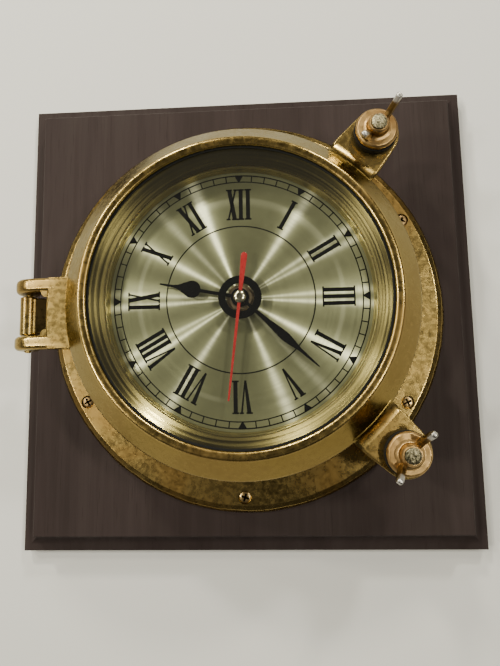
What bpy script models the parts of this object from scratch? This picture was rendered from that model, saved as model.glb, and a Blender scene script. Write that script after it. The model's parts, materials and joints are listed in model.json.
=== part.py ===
"""Ship's deck clock: a quartz clock in a cast brass port-light case on a moulded wooden board.

The clock lies on its back. The origin is the centre of the board's back face, +X points to
3 o'clock, +Y to 12 o'clock and +Z out of the dial. Angles on the face are in degrees
clockwise from 12 o'clock.
"""

import math

import bmesh
import bpy
from mathutils import Matrix, Vector

MM = 0.001
GAP = 0.3 * MM

# Wall board
BOARD_WIDTH = 254.0 * MM
BOARD_HEIGHT = 259.0 * MM
BOARD_FACE = 19.5 * MM
LEDGE_TOP = 7.0 * MM
LEDGE_WIDTH = 2.0 * MM
COVE_WIDTH = 9.3 * MM
ACCESS_RADIUS = 48.0 * MM
HANGER_Y = 100.0 * MM
HANGER_SCREW_REACH = 17.0 * MM

# Case, from the board upward
FLANGE_RADIUS = 106.6 * MM
FLANGE_BOTTOM = BOARD_FACE + GAP
FLANGE_TOP = FLANGE_BOTTOM + 5.5 * MM
NECK_RADIUS = 79.0 * MM
CASE_BORE = 73.0 * MM
SEAT_TOP = 56.0 * MM
SPIGOT_RADIUS = 74.2 * MM
SPIGOT_TOP = 62.0 * MM
MOUTH_RADIUS = 70.2 * MM
DIAL_LEDGE_RADIUS = 66.0 * MM
DIAL_LEDGE_TOP = 59.4 * MM
FLANGE_SCREWS = 6
FLANGE_SCREW_CIRCLE = 97.9 * MM
FLANGE_SCREW_FIRST = 1.0

# Door
DOOR_RADIUS = 84.0 * MM
DOOR_BOTTOM = SEAT_TOP + GAP
DOOR_TOP = 75.4 * MM
DOOR_RECESS = 75.2 * MM
OPENING_RADIUS = 68.9 * MM
GLASS_RECESS = 72.6 * MM
LIP_BOTTOM = 74.0 * MM
GLASS_RADIUS = 72.3 * MM
GLASS_BOTTOM = 70.1 * MM
GLASS_TOP = 73.0 * MM

# Hinge, its axis parallel to Y
HINGE_X = -107.0 * MM
HINGE_Y = -4.35 * MM
HINGE_Z = 50.0 * MM
HINGE_PIN_RADIUS = 1.6 * MM
BARREL_RADIUS = 4.1 * MM
BARREL_LENGTH = 19.4 * MM
FORK_WIDTH = 34.6 * MM
FORK_TOP = 61.4 * MM
ARM_WIDTH = 6.7 * MM
ARM_EYE_RADIUS = 5.6 * MM

# Dogs
DOG_RADIUS = 102.5 * MM
DOGS = {"upper": (40.0, 43.0), "lower": (134.5, 38.5)}
EAR_WIDTH = 25.4 * MM
EAR_FOLD = 91.4 * MM
EAR_TOP = 61.0 * MM
EAR_END_RADIUS = 11.6 * MM
LUG_BOTTOM = 47.0 * MM
ROD_RADIUS = 3.0 * MM
ROD_BOTTOM = 49.2 * MM
ROD_HOLE_RADIUS = 3.7 * MM
HEAD_BOTTOM = EAR_TOP + 3.5 * MM
DISC_RADIUS = 9.9 * MM
DISC_HEIGHT = 2.9 * MM
WASHER_RADIUS = 10.3 * MM
BOSS_RADIUS = 4.8 * MM
BOSS_TOP = 7.7 * MM

# Dial and hands
DIAL_RADIUS = 69.8 * MM
DIAL_BOTTOM = DIAL_LEDGE_TOP + GAP
DIAL_TOP = DIAL_BOTTOM + 0.8 * MM
BUSH_RADIUS = 3.9 * MM
BUSH_TOP = 63.4 * MM
HOUR_HAND_Z = 64.0 * MM
MINUTE_HAND_Z = 65.2 * MM
SECOND_HAND_Z = 66.4 * MM
HAND_THICKNESS = 0.4 * MM
HOUR_ANGLE = 281.1
MINUTE_ANGLE = 132.8
SECOND_ANGLE = 186.9
HAND_RING_OUTER = 10.0 * MM
HAND_RING_INNER = 6.7 * MM
HAND_HUB_RADIUS = 4.2 * MM

# Quartz movement
CASE_SIDE = 56.0 * MM
CASE_WALL = 1.2 * MM
CASE_BACK = 41.6 * MM
CASE_SPLIT = 50.0 * MM
CASE_FRONT = 58.4 * MM
BATTERY_Y = -19.0 * MM
BATTERY_Z = 49.3 * MM
BATTERY_RADIUS = 7.0 * MM
ARBOR_RADIUS = 0.5 * MM
ARBOR_BOTTOM = CASE_BACK + 0.9 * MM
PLATE_BOTTOM = 49.4 * MM
PLATE_TOP = 50.2 * MM

# Wheel train: teeth, and the distance between each pair of arbors
TEETH = {
    "second": 36,
    "second_pinion": 6,
    "third": 48,
    "third_pinion": 6,
    "minute": 45,
    "cannon_pinion": 8,
    "motion": 24,
    "motion_pinion": 6,
    "hour": 24,
    "step": 30,
    "step_pinion": 6,
    "rotor_pinion": 6,
}
STEP_DISTANCE = 8.4 * MM
ROTOR_DISTANCE = 6.48 * MM
THIRD_DISTANCE = 8.2 * MM
MOTION_DISTANCE = 10.0 * MM
STEP_DIRECTION = math.radians(-10.0)
ROTOR_DIRECTION = math.radians(35.0)
THIRD_DIRECTION = math.radians(190.0)
MOTION_DIRECTION = math.radians(90.0)
TOOTH_ADDENDUM = 0.65
TOOTH_DEDENDUM = 0.9
TOOTH_TIP_SHARE = 0.10
TOOTH_ROOT_SHARE = 0.22

RING_STEPS = 64
INNER_STEPS = 48
SMALL_STEPS = 24
FINE_STEPS = 12


def remove_everything():
    for obj in list(bpy.data.objects):
        bpy.data.objects.remove(obj, do_unlink=True)


def new_collection(name):
    collection = bpy.data.collections.new(name)
    bpy.context.scene.collection.children.link(collection)
    return collection


remove_everything()
PARTS = new_collection("ships_deck_clock")
CUTTERS = new_collection("cutters")


# ---------------------------------------------------------------- materials


def principled(name, colour, roughness, metallic):
    material = bpy.data.materials.new(name)
    material.use_nodes = True
    shader = material.node_tree.nodes["Principled BSDF"]
    shader.inputs["Base Color"].default_value = (*colour, 1.0)
    shader.inputs["Roughness"].default_value = roughness
    shader.inputs["Metallic"].default_value = metallic
    return material


MATERIALS = {
    "wood": principled("dark_wood", (0.055, 0.042, 0.040), 0.45, 0.0),
    "steel": principled("steel", (0.55, 0.55, 0.56), 0.35, 1.0),
    "case_brass": principled("case_brass", (0.55, 0.42, 0.20), 0.30, 1.0),
    "dial_brass": principled("dial_brass", (0.60, 0.58, 0.42), 0.28, 1.0),
    "ring_brass": principled("brushed_brass", (0.56, 0.47, 0.25), 0.35, 1.0),
    "dog_brass": principled("worn_brass", (0.48, 0.34, 0.17), 0.45, 1.0),
    "glass": principled("clear_glass", (0.95, 0.97, 0.96), 0.02, 0.0),
    "rubber": principled("black_rubber", (0.02, 0.02, 0.02), 0.80, 0.0),
    "black_paint": principled("black_paint", (0.012, 0.012, 0.015), 0.30, 0.0),
    "red_paint": principled("red_paint", (0.45, 0.02, 0.02), 0.35, 0.0),
    "black_plastic": principled("black_plastic", (0.03, 0.03, 0.03), 0.50, 0.0),
    "white_plastic": principled("white_plastic", (0.80, 0.80, 0.76), 0.45, 0.0),
    "copper": principled("copper_wire", (0.70, 0.32, 0.16), 0.35, 1.0),
    "board_green": principled("circuit_green", (0.05, 0.22, 0.10), 0.50, 0.0),
    "battery_sleeve": principled("battery_sleeve", (0.06, 0.06, 0.07), 0.35, 0.0),
}


# ------------------------------------------------------------ shape helpers


def link(obj, material=None):
    """Puts an object with the parts, or with the cutters when it has no material."""
    if material:
        PARTS.objects.link(obj)
        obj.data.materials.clear()
        obj.data.materials.append(MATERIALS[material])
    else:
        CUTTERS.objects.link(obj)
        obj.hide_render = True
        obj.display_type = "WIRE"
    return obj


def arc(centre, radius, start, end, count):
    """Points on an arc, ends included, angles in degrees counter-clockwise from +X."""
    points = []
    for index in range(count):
        angle = math.radians(start + (end - start) * index / (count - 1))
        x = centre[0] + radius * math.cos(angle)
        y = centre[1] + radius * math.sin(angle)
        points.append((x, y))
    return points


def circle(radius, count, centre=(0.0, 0.0)):
    return arc(centre, radius, 0.0, 360.0 * (count - 1) / count, count)


def on_face(radius, clockwise):
    """The X and Y of a point at a radius and an angle on the clock's face."""
    angle = math.radians(clockwise)
    return radius * math.sin(angle), radius * math.cos(angle)


def rectangle(x_low, x_high, y_low, y_high):
    return [(x_low, y_low), (x_high, y_low), (x_high, y_high), (x_low, y_high)]


def rounded_rectangle(width, height, radius, count=4):
    points = []
    for turn, (sx, sy) in enumerate(((1, -1), (1, 1), (-1, 1), (-1, -1))):
        centre = (sx * (width / 2 - radius), sy * (height / 2 - radius))
        start = -90.0 + 90.0 * turn
        points += arc(centre, radius, start, start + 90.0, count)
    return points


def turned(name, profile, material=None, steps=RING_STEPS, closed=True, at=(0, 0, 0)):
    """A solid of revolution about Z. The profile of (radius, z) runs down its outer side."""
    mesh = bpy.data.meshes.new(name)
    count = len(profile)
    edges = [(index, index + 1) for index in range(count - 1)]
    if closed:
        edges.append((count - 1, 0))
    mesh.from_pydata([(radius, 0.0, z) for radius, z in profile], edges, [])
    obj = bpy.data.objects.new(name, mesh)
    obj.location = at
    screw = obj.modifiers.new("turn", "SCREW")
    screw.axis = "Z"
    screw.angle = math.tau
    screw.steps = steps
    screw.render_steps = steps
    screw.use_merge_vertices = True
    screw.merge_threshold = 0.00001
    screw.use_smooth_shade = True
    return link(obj, material)


def cylinder(name, radius, z_low, z_high, material=None, steps=SMALL_STEPS, at=(0, 0, 0)):
    profile = [(0.0, z_high), (radius, z_high), (radius, z_low), (0.0, z_low)]
    return turned(name, profile, material, steps, closed=False, at=at)


def evaluated_mesh(obj, name):
    """The mesh that the object's curve or modifiers make, with its caps welded."""
    bpy.context.view_layer.update()
    graph = bpy.context.evaluated_depsgraph_get()
    mesh = bpy.data.meshes.new_from_object(obj.evaluated_get(graph))
    mesh.name = name
    work = bmesh.new()
    work.from_mesh(mesh)
    bmesh.ops.remove_doubles(work, verts=work.verts, dist=0.000001)
    work.to_mesh(mesh)
    work.free()
    return mesh


def plate(name, outlines, z_low, z_high, material=None, at=(0, 0, 0), turn=None):
    """A flat outline, with any holes after it, given a thickness along its own Z."""
    curve = bpy.data.curves.new(name, "CURVE")
    curve.dimensions = "2D"
    curve.fill_mode = "BOTH"
    curve.extrude = (z_high - z_low) / 2
    for outline in outlines:
        spline = curve.splines.new("POLY")
        spline.points.add(len(outline) - 1)
        for point, (x, y) in zip(spline.points, outline):
            point.co = (x, y, 0.0, 1.0)
        spline.use_cyclic_u = True
    guide = bpy.data.objects.new(name + "_outline", curve)
    CUTTERS.objects.link(guide)
    mesh = evaluated_mesh(guide, name)
    bpy.data.objects.remove(guide)
    bpy.data.curves.remove(curve)
    mesh.transform(Matrix.Translation((0.0, 0.0, (z_low + z_high) / 2)))
    obj = bpy.data.objects.new(name, mesh)
    if turn:
        obj.rotation_euler = turn
    obj.location = at
    return link(obj, material)


def combine(obj, other, operation):
    modifier = obj.modifiers.new(operation.lower() + "_" + other.name, "BOOLEAN")
    modifier.operation = operation
    modifier.object = other


def join(obj, *others):
    for other in others:
        combine(obj, other, "UNION")


def cut(obj, *others):
    for other in others:
        combine(obj, other, "DIFFERENCE")


def freeze(obj, smooth_angle=35.0):
    """Applies the modifiers, so that the mesh can be shared or is cheap to read."""
    mesh = evaluated_mesh(obj, obj.name)
    obj.modifiers.clear()
    obj.data = mesh
    mesh.shade_smooth()
    mesh.set_sharp_from_angle(angle=math.radians(smooth_angle))
    return obj


def axis_empty(name, at):
    """An empty on a joint's axis, which the joint's pieces are parented to."""
    empty = bpy.data.objects.new(name, None)
    empty.location = at
    empty.empty_display_size = 0.01
    PARTS.objects.link(empty)
    return empty


def carry(parent, *children):
    """Parents the children without moving them."""
    bpy.context.view_layer.update()
    for child in children:
        child.parent = parent
        child.matrix_parent_inverse = parent.matrix_world.inverted()


def facing_out(clockwise):
    """Turns a shape whose outer end is +X so that it points to an angle on the face."""
    return (0.0, 0.0, math.radians(90.0 - clockwise))


# -------------------------------------------------------------- wall board


def make_plaque():
    work = bmesh.new()
    scale = Matrix.Diagonal((BOARD_WIDTH, BOARD_HEIGHT, LEDGE_TOP, 1.0))
    bmesh.ops.create_cube(work, size=1.0, matrix=Matrix.Translation((0, 0, LEDGE_TOP / 2)) @ scale)
    top = max(work.faces, key=lambda face: face.calc_center_median().z)
    rise = BOARD_FACE - LEDGE_TOP
    steps = [(LEDGE_WIDTH, 0.0)]
    cove_steps = 4
    for index in range(cove_steps):
        before = math.radians(90.0 * index / cove_steps)
        after = math.radians(90.0 * (index + 1) / cove_steps)
        across = COVE_WIDTH * (math.sin(after) - math.sin(before))
        up = rise * (math.cos(before) - math.cos(after))
        steps.append((across, up))
    for across, up in steps:
        bmesh.ops.inset_region(work, faces=[top], thickness=across, use_even_offset=True)
        bmesh.ops.translate(work, verts=top.verts, vec=(0.0, 0.0, up))
    mesh = bpy.data.meshes.new("plaque")
    work.to_mesh(mesh)
    work.free()
    plaque = link(bpy.data.objects.new("plaque", mesh), "wood")

    low, high = -2.0 * MM, BOARD_FACE + 2.0 * MM
    cut(plaque, cylinder("access_cutter", ACCESS_RADIUS, low, high, steps=INNER_STEPS))
    let_in = rounded_rectangle(18.0 * MM, 43.0 * MM, 4.0 * MM)
    pocket = rounded_rectangle(14.0 * MM, 26.0 * MM, 4.0 * MM)
    centre = (0.0, HANGER_Y, 0.0)
    cut(plaque, plate("hanger_recess_cutter", [let_in], low, 3.2 * MM, at=centre))
    cut(plaque, plate("hanger_pocket_cutter", [pocket], low, 8.5 * MM, at=centre))
    for side in (-1, 1):
        place = (0.0, HANGER_Y + side * HANGER_SCREW_REACH, 0.0)
        pilot = cylinder("hanger_pilot_cutter", 1.5 * MM, low, 10.0 * MM, steps=FINE_STEPS, at=place)
        cut(plaque, pilot)
    for place in flange_screw_places():
        cut(plaque, cylinder("flange_pilot_cutter", 1.8 * MM, 6.5 * MM, high, steps=FINE_STEPS, at=place))
    return plaque


def make_hanger():
    outline = rounded_rectangle(17.0 * MM, 42.0 * MM, 3.5 * MM)
    slot = arc((0.0, -5.0 * MM), 4.6 * MM, 125.0, 415.0, 16)
    slot += arc((0.0, 6.0 * MM), 2.3 * MM, 0.0, 180.0, 6)
    holes = [slot]
    for side in (-1, 1):
        holes.append(circle(1.5 * MM, FINE_STEPS, (0.0, side * HANGER_SCREW_REACH)))
    centre = (0.0, HANGER_Y, 0.0)
    plate("hanger_plate", [outline, *holes], 1.6 * MM, 2.9 * MM, "steel", at=centre)

    profile = [(0.0, 9.5), (1.2, 8.0), (1.2, 1.3), (2.7, 1.3), (2.7, 0.8), (2.2, 0.35), (0.0, 0.35)]
    scaled = [(radius * MM, z * MM) for radius, z in profile]
    screw = turned("hanger_screw_top", scaled, "steel", FINE_STEPS, closed=False)
    slit = plate("hanger_slit_cutter", [rectangle(-3 * MM, 3 * MM, -0.35 * MM, 0.35 * MM)], -MM, 0.8 * MM)
    cut(screw, slit)
    freeze(screw)
    screw.location = (0.0, HANGER_Y + HANGER_SCREW_REACH, 0.0)
    other = link(bpy.data.objects.new("hanger_screw_bottom", screw.data), "steel")
    other.location = (0.0, HANGER_Y - HANGER_SCREW_REACH, 0.0)


# --------------------------------------------------------------- base ring


def flange_screw_places():
    places = []
    for index in range(FLANGE_SCREWS):
        x, y = on_face(FLANGE_SCREW_CIRCLE, FLANGE_SCREW_FIRST + 360.0 / FLANGE_SCREWS * index)
        places.append((x, y, 0.0))
    return places


def make_base_ring():
    outside = [
        (MOUTH_RADIUS, SPIGOT_TOP),
        (SPIGOT_RADIUS, SPIGOT_TOP),
        (SPIGOT_RADIUS, SEAT_TOP),
        (82.8 * MM, SEAT_TOP),
        (83.6 * MM, 55.2 * MM),
        (83.6 * MM, 52.6 * MM),
        (82.4 * MM, 51.4 * MM),
        (NECK_RADIUS, 49.6 * MM),
    ]
    root = 6.5 * MM
    fillet = arc((NECK_RADIUS + root, FLANGE_TOP + root), root, 180.0, 270.0, 4)
    edge = [
        (104.9 * MM, FLANGE_TOP),
        (106.3 * MM, FLANGE_TOP - 0.8 * MM),
        (FLANGE_RADIUS, FLANGE_TOP - 2.2 * MM),
        (FLANGE_RADIUS, FLANGE_BOTTOM),
    ]
    inside = [
        (CASE_BORE, FLANGE_BOTTOM),
        (CASE_BORE, 51.5 * MM),
        (DIAL_LEDGE_RADIUS, 56.6 * MM),
        (DIAL_LEDGE_RADIUS, DIAL_LEDGE_TOP),
        (MOUTH_RADIUS, DIAL_LEDGE_TOP),
    ]
    ring = turned("base_ring", outside + fillet + edge + inside, "case_brass")

    turn_to_y = (math.radians(90.0), 0.0, 0.0)
    centre = (HINGE_X, HINGE_Y, HINGE_Z)
    half = BARREL_LENGTH / 2
    web_half = half - 0.8 * MM
    web = rectangle(HINGE_X + 2.9 * MM, -NECK_RADIUS + 3.0 * MM, 46.6 * MM, 52.4 * MM)
    barrel = cylinder("barrel_adder", BARREL_RADIUS, -half, half)
    barrel.rotation_euler = turn_to_y
    barrel.location = centre
    web_place = (0.0, HINGE_Y, 0.0)
    join(ring, plate("web_adder", [web], -web_half, web_half, at=web_place, turn=turn_to_y), barrel)
    for name, (clockwise, _) in DOGS.items():
        tab = ear_outline(23.0 * MM, NECK_RADIUS - 3.0 * MM, 10.6 * MM)
        turn = facing_out(clockwise)
        join(ring, plate(f"{name}_lug_adder", [tab], LUG_BOTTOM, SEAT_TOP, turn=turn))
    for name, (clockwise, _) in DOGS.items():
        x, y = on_face(DOG_RADIUS, clockwise)
        hole = cylinder(f"{name}_lug_cutter", ROD_HOLE_RADIUS, LUG_BOTTOM - MM, SEAT_TOP + MM, at=(x, y, 0))
        cut(ring, hole)
    sink = [
        (0.0, FLANGE_TOP + MM),
        (4.4 * MM, FLANGE_TOP + MM),
        (4.4 * MM, FLANGE_TOP - 0.4 * MM),
        (1.9 * MM, FLANGE_TOP - 2.9 * MM),
        (1.9 * MM, FLANGE_BOTTOM - MM),
        (0.0, FLANGE_BOTTOM - MM),
    ]
    for place in flange_screw_places():
        cut(ring, turned("countersink_cutter", sink, steps=16, closed=False, at=place))
    bore = cylinder("barrel_bore_cutter", HINGE_PIN_RADIUS + GAP, -half - MM, half + MM)
    bore.rotation_euler = turn_to_y
    bore.location = centre
    cut(ring, bore)
    return ring


def make_flange_screws():
    top = FLANGE_TOP - 0.4 * MM
    profile = [
        (0.0, top),
        (2.3 * MM, top - 0.15 * MM),
        (3.2 * MM, top - 0.6 * MM),
        (1.5 * MM, top - 2.3 * MM),
        (1.5 * MM, 9.0 * MM),
        (0.0, 7.0 * MM),
    ]
    screw = turned("flange_screw_1", profile, "dog_brass", 16, closed=False)
    wide, thin = 1.9 * MM, 0.4 * MM
    slot = rectangle(-wide, wide, -thin, thin)
    cross = rectangle(-thin, thin, -wide, wide)
    cut(screw, plate("slot_cutter", [slot], top - 1.3 * MM, top + MM))
    cut(screw, plate("cross_cutter", [cross], top - 1.31 * MM, top + 1.1 * MM))
    freeze(screw)
    for index, place in enumerate(flange_screw_places()):
        if index == 0:
            obj = screw
        else:
            obj = link(bpy.data.objects.new(f"flange_screw_{index + 1}", screw.data), "dog_brass")
        obj.location = place
        obj.rotation_euler = (0.0, 0.0, math.radians(20.0 + 47.0 * index))


def make_hinge_pin():
    reach = FORK_WIDTH / 2
    head = 2.6 * MM
    profile = [
        (0.0, reach + 1.2 * MM),
        (head - 0.6 * MM, reach + 1.2 * MM),
        (head, reach + 0.7 * MM),
        (head, reach + GAP),
        (HINGE_PIN_RADIUS, reach + GAP),
        (HINGE_PIN_RADIUS, -reach - 0.4 * MM),
        (HINGE_PIN_RADIUS - 0.5 * MM, -reach - 0.9 * MM),
        (0.0, -reach - 0.9 * MM),
    ]
    pin = turned("hinge_pin", profile, "case_brass", SMALL_STEPS, closed=False)
    pin.rotation_euler = (math.radians(-90.0), 0.0, 0.0)
    pin.location = (HINGE_X, HINGE_Y, HINGE_Z)
    return pin


# -------------------------------------------------------------------- door


def ear_outline(width, root, end_radius):
    """A tab along +X from the root radius, tapering to a round end about the dog's axis."""
    half = width / 2
    lean = 5.0
    end = arc((DOG_RADIUS, 0.0), end_radius, -90.0 + lean, 90.0 - lean, 10)
    return [(root, half), (root, -half), (EAR_FOLD, -half), *end, (EAR_FOLD, half)]


def fork_arm_outline():
    """One arm's side view, as (x, z): flat on top, curving over to the eye."""
    reach = HINGE_X - ARM_EYE_RADIUS
    shoulder_x, shoulder_z = -101.5 * MM, 60.9 * MM
    points = [(-82.0 * MM, DOOR_BOTTOM), (-82.0 * MM, FORK_TOP), (-92.0 * MM, FORK_TOP)]
    for index in range(6):
        angle = math.radians(90.0 * index / 5)
        x = shoulder_x + (reach - shoulder_x) * math.sin(angle)
        z = HINGE_Z + (shoulder_z - HINGE_Z) * math.cos(angle)
        points.append((x, z))
    points += arc((HINGE_X, HINGE_Z), ARM_EYE_RADIUS, 200.0, 320.0, 6)
    points.append((-96.5 * MM, DOOR_BOTTOM))
    return points


def make_door_ring():
    face = []
    for radius, z in ((69.5, 75.1), (71.0, 75.5), (72.7, 75.25), (73.4, 74.55), (82.9, 63.0), (83.7, 61.6), (84.0, 59.8)):
        face.append((radius * MM, z * MM))
    profile = [(OPENING_RADIUS, DOOR_TOP - MM), *face]
    profile += [
        (DOOR_RADIUS, DOOR_BOTTOM + 0.6 * MM),
        (DOOR_RADIUS - 0.6 * MM, DOOR_BOTTOM),
        (DOOR_RECESS, DOOR_BOTTOM),
        (DOOR_RECESS, 63.2 * MM),
        (GLASS_RECESS, 63.2 * MM),
        (GLASS_RECESS, 67.7 * MM),
        (GLASS_RECESS + 1.2 * MM, 67.7 * MM),
        (GLASS_RECESS + 1.2 * MM, 69.2 * MM),
        (GLASS_RECESS, 69.2 * MM),
        (GLASS_RECESS, LIP_BOTTOM),
        (OPENING_RADIUS, LIP_BOTTOM),
    ]
    door = turned("door_ring", profile, "case_brass")

    turn_to_y = (math.radians(90.0), 0.0, 0.0)
    fork_half = FORK_WIDTH / 2
    block = rectangle(-93.6 * MM, -81.0 * MM, DOOR_BOTTOM, FORK_TOP)
    join(door, plate("fork_block_adder", [block], -fork_half, fork_half, at=(0, HINGE_Y, 0), turn=turn_to_y))
    for name, side in (("top", 1), ("bottom", -1)):
        centre = (0.0, HINGE_Y + side * (fork_half - ARM_WIDTH / 2), 0.0)
        arm = plate(f"{name}_arm_adder", [fork_arm_outline()], -ARM_WIDTH / 2, ARM_WIDTH / 2, at=centre)
        arm.rotation_euler = turn_to_y
        join(door, arm)
    eye = cylinder("eye_cutter", HINGE_PIN_RADIUS + GAP, -fork_half - MM, fork_half + MM)
    eye.rotation_euler = turn_to_y
    eye.location = (HINGE_X, HINGE_Y, HINGE_Z)
    cut(door, eye)

    cove = [(79.0 * MM, DOOR_BOTTOM), (94.0 * MM, DOOR_BOTTOM), (94.0 * MM, EAR_TOP), (EAR_FOLD, EAR_TOP)]
    for radius, z in ((88.6, 61.2), (86.4, 61.9), (84.9, 62.5), (83.6, 63.3), (82.4, 64.1), (79.0, 64.4)):
        cove.append((radius * MM, z * MM))
    cove_half = 12.9 * MM
    for name, (clockwise, _) in DOGS.items():
        turn = facing_out(clockwise)
        ear = ear_outline(EAR_WIDTH, 80.0 * MM, EAR_END_RADIUS)
        join(door, plate(f"{name}_ear_adder", [ear], DOOR_BOTTOM, EAR_TOP, turn=turn))
        step = plate(f"{name}_cove_adder", [cove], -cove_half, cove_half)
        step.rotation_euler = (math.radians(90.0), 0.0, turn[2])
        join(door, step)
        x, y = on_face(DOG_RADIUS, clockwise)
        hole = cylinder(f"{name}_ear_cutter", ROD_HOLE_RADIUS, DOOR_BOTTOM - MM, EAR_TOP + MM, at=(x, y, 0))
        cut(door, hole)
    return door


def make_glazing():
    """Glass, its gasket above it, and the brushed reflector cone and snap ring below it."""
    glass = [
        (0.0, GLASS_TOP),
        (GLASS_RADIUS - 0.5 * MM, GLASS_TOP),
        (GLASS_RADIUS, GLASS_TOP - 0.5 * MM),
        (GLASS_RADIUS, GLASS_BOTTOM),
        (0.0, GLASS_BOTTOM),
    ]
    pane = turned("glass", glass, "glass", closed=False)
    gasket = [
        (67.9 * MM, GLASS_TOP + GAP + 0.4 * MM),
        (GLASS_RADIUS, GLASS_TOP + GAP + 0.4 * MM),
        (GLASS_RADIUS, GLASS_TOP + GAP),
        (67.9 * MM, GLASS_TOP + GAP),
    ]
    seal = turned("glass_gasket", gasket, "rubber", INNER_STEPS)
    cone = [
        (69.7 * MM, GLASS_BOTTOM - GAP),
        (GLASS_RADIUS, GLASS_BOTTOM - GAP),
        (GLASS_RADIUS, 69.2 * MM),
        (70.3 * MM, 69.2 * MM),
        (64.2 * MM, 64.9 * MM),
        (63.4 * MM, 65.4 * MM),
    ]
    reflector = turned("reflector_ring", cone, "ring_brass", INNER_STEPS)
    wire = [(70.4 * MM, 68.9 * MM), (73.5 * MM, 68.9 * MM), (73.5 * MM, 68.0 * MM), (70.4 * MM, 68.0 * MM)]
    snap = turned("snap_ring", wire, "steel", INNER_STEPS)
    mouth = rectangle(60.0 * MM, 80.0 * MM, -6.0 * MM, 6.0 * MM)
    cut(snap, plate("snap_gap_cutter", [mouth], 66.0 * MM, 71.0 * MM, turn=facing_out(90.0)))
    return [pane, seal, reflector, snap]


# -------------------------------------------------------------------- dogs


def make_wing_head(name, clockwise):
    """A disc, a boss and two splayed wings, its axis at the object's origin."""
    disc = [
        (ROD_RADIUS + GAP, BOSS_TOP),
        (BOSS_RADIUS - 0.7 * MM, BOSS_TOP),
        (BOSS_RADIUS, BOSS_TOP - 0.8 * MM),
        (BOSS_RADIUS + 0.3 * MM, DISC_HEIGHT),
        (DISC_RADIUS - 1.0 * MM, DISC_HEIGHT),
        (DISC_RADIUS, DISC_HEIGHT - 1.0 * MM),
        (DISC_RADIUS, 0.7 * MM),
        (DISC_RADIUS - 0.7 * MM, 0.0),
        (ROD_RADIUS + GAP, 0.0),
    ]
    head = turned(name, disc, "dog_brass", 32)
    wing = []
    for x, z in ((3.9, 1.6), (7.4, 1.6), (9.6, 5.1), (12.6, 10.7), (13.4, 13.3), (12.6, 14.9), (11.0, 14.7),
                 (9.0, 11.7), (6.4, 7.7), (3.9, 5.7)):
        wing.append((x * MM, z * MM))
    half = 1.6 * MM
    for side in (0, 1):
        blade = plate(f"{name}_wing_adder_{side}", [wing], -half, half)
        blade.rotation_euler = (math.radians(90.0), 0.0, math.radians(180.0 * side))
        join(head, blade)
    freeze(head)
    head.rotation_euler = (0.0, 0.0, math.radians(90.0 - clockwise))
    return head


def make_dogs(door_axis):
    rivet = [(0.0, 1.0), (2.2, 0.9), (3.6, 0.4), (3.6, 0.0)]
    for name, (clockwise, wing_angle) in DOGS.items():
        x, y = on_face(DOG_RADIUS, clockwise)
        head = make_wing_head(f"wing_head_{name}", wing_angle)
        head.location = (x, y, HEAD_BOTTOM)

        rivet_bottom = HEAD_BOTTOM + BOSS_TOP + GAP
        profile = [(radius * MM, rivet_bottom + z * MM) for radius, z in rivet]
        profile += [
            (ROD_RADIUS, rivet_bottom),
            (ROD_RADIUS, ROD_BOTTOM + 0.8 * MM),
            (ROD_RADIUS - 0.8 * MM, ROD_BOTTOM),
            (0.0, ROD_BOTTOM),
        ]
        rod = turned(f"dog_rod_{name}", profile, "steel", SMALL_STEPS, closed=False, at=(x, y, 0.0))

        low, high = EAR_TOP + GAP, HEAD_BOTTOM - GAP
        ring = [(WASHER_RADIUS, high), (WASHER_RADIUS, low), (ROD_RADIUS + GAP, low), (ROD_RADIUS + GAP, high)]
        washer = turned(f"dog_washer_{name}", ring, "rubber", SMALL_STEPS, at=(x, y, 0.0))

        axis = axis_empty(f"dog_axis_{name}", (x, y, EAR_TOP))
        carry(axis, head, rod, washer)
        carry(door_axis, axis)


# ---------------------------------------------------------- dial and hands


def make_dial():
    outline = circle(DIAL_RADIUS, RING_STEPS)
    hole = circle(BUSH_RADIUS + GAP + 0.1 * MM, SMALL_STEPS)
    plate("dial_plate", [outline, hole], DIAL_BOTTOM, DIAL_TOP, "dial_brass")
    bottom = DIAL_TOP + GAP
    ring = [
        (64.2 * MM, 64.5 * MM),
        (64.1 * MM, bottom + 1.1 * MM),
        (69.8 * MM, bottom + 1.1 * MM),
        (69.8 * MM, bottom),
        (61.9 * MM, bottom),
        (63.0 * MM, 64.5 * MM),
    ]
    turned("dial_ring", ring, "ring_brass", INNER_STEPS)

    cushion = [(9.0, 59.4), (9.0, 58.7), (4.2, 58.7), (4.2, 59.4)]
    turned("movement_washer", [(r * MM, z * MM) for r, z in cushion], "rubber", SMALL_STEPS)
    washer = [(6.6, 61.2), (6.6, 60.8), (4.2, 60.8), (4.2, 61.2)]
    turned("centre_washer", [(r * MM, z * MM) for r, z in washer], "ring_brass", SMALL_STEPS)
    flats = [circle(6.35 * MM, 6), circle(BUSH_RADIUS + GAP, SMALL_STEPS)]
    plate("centre_nut", flats, 61.5 * MM, 63.1 * MM, "ring_brass")


def blade_outline(half, first_angle):
    """The outer edge of a ringed hand along +Y: the blade's half widths, then round the ring."""
    right = [(width * MM, y * MM) for width, y in half]
    left = [(-width * MM, y * MM) for width, y in reversed(half)]
    ring = arc((0.0, 0.0), HAND_RING_OUTER, 90.0 + first_angle, 450.0 - first_angle, 28)
    return right + left + ring[1:-1]


def ring_window(half_width):
    """The gap between a hand's ring and its hub, left open except for the arm along +Y."""
    outer = math.degrees(math.asin(half_width / HAND_RING_INNER))
    inner = math.degrees(math.asin(half_width / HAND_HUB_RADIUS))
    window = arc((0.0, 0.0), HAND_RING_INNER, 90.0 + outer, 450.0 - outer, 20)
    window += arc((0.0, 0.0), HAND_HUB_RADIUS, 450.0 - inner, 90.0 + inner, 16)
    return window


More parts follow.
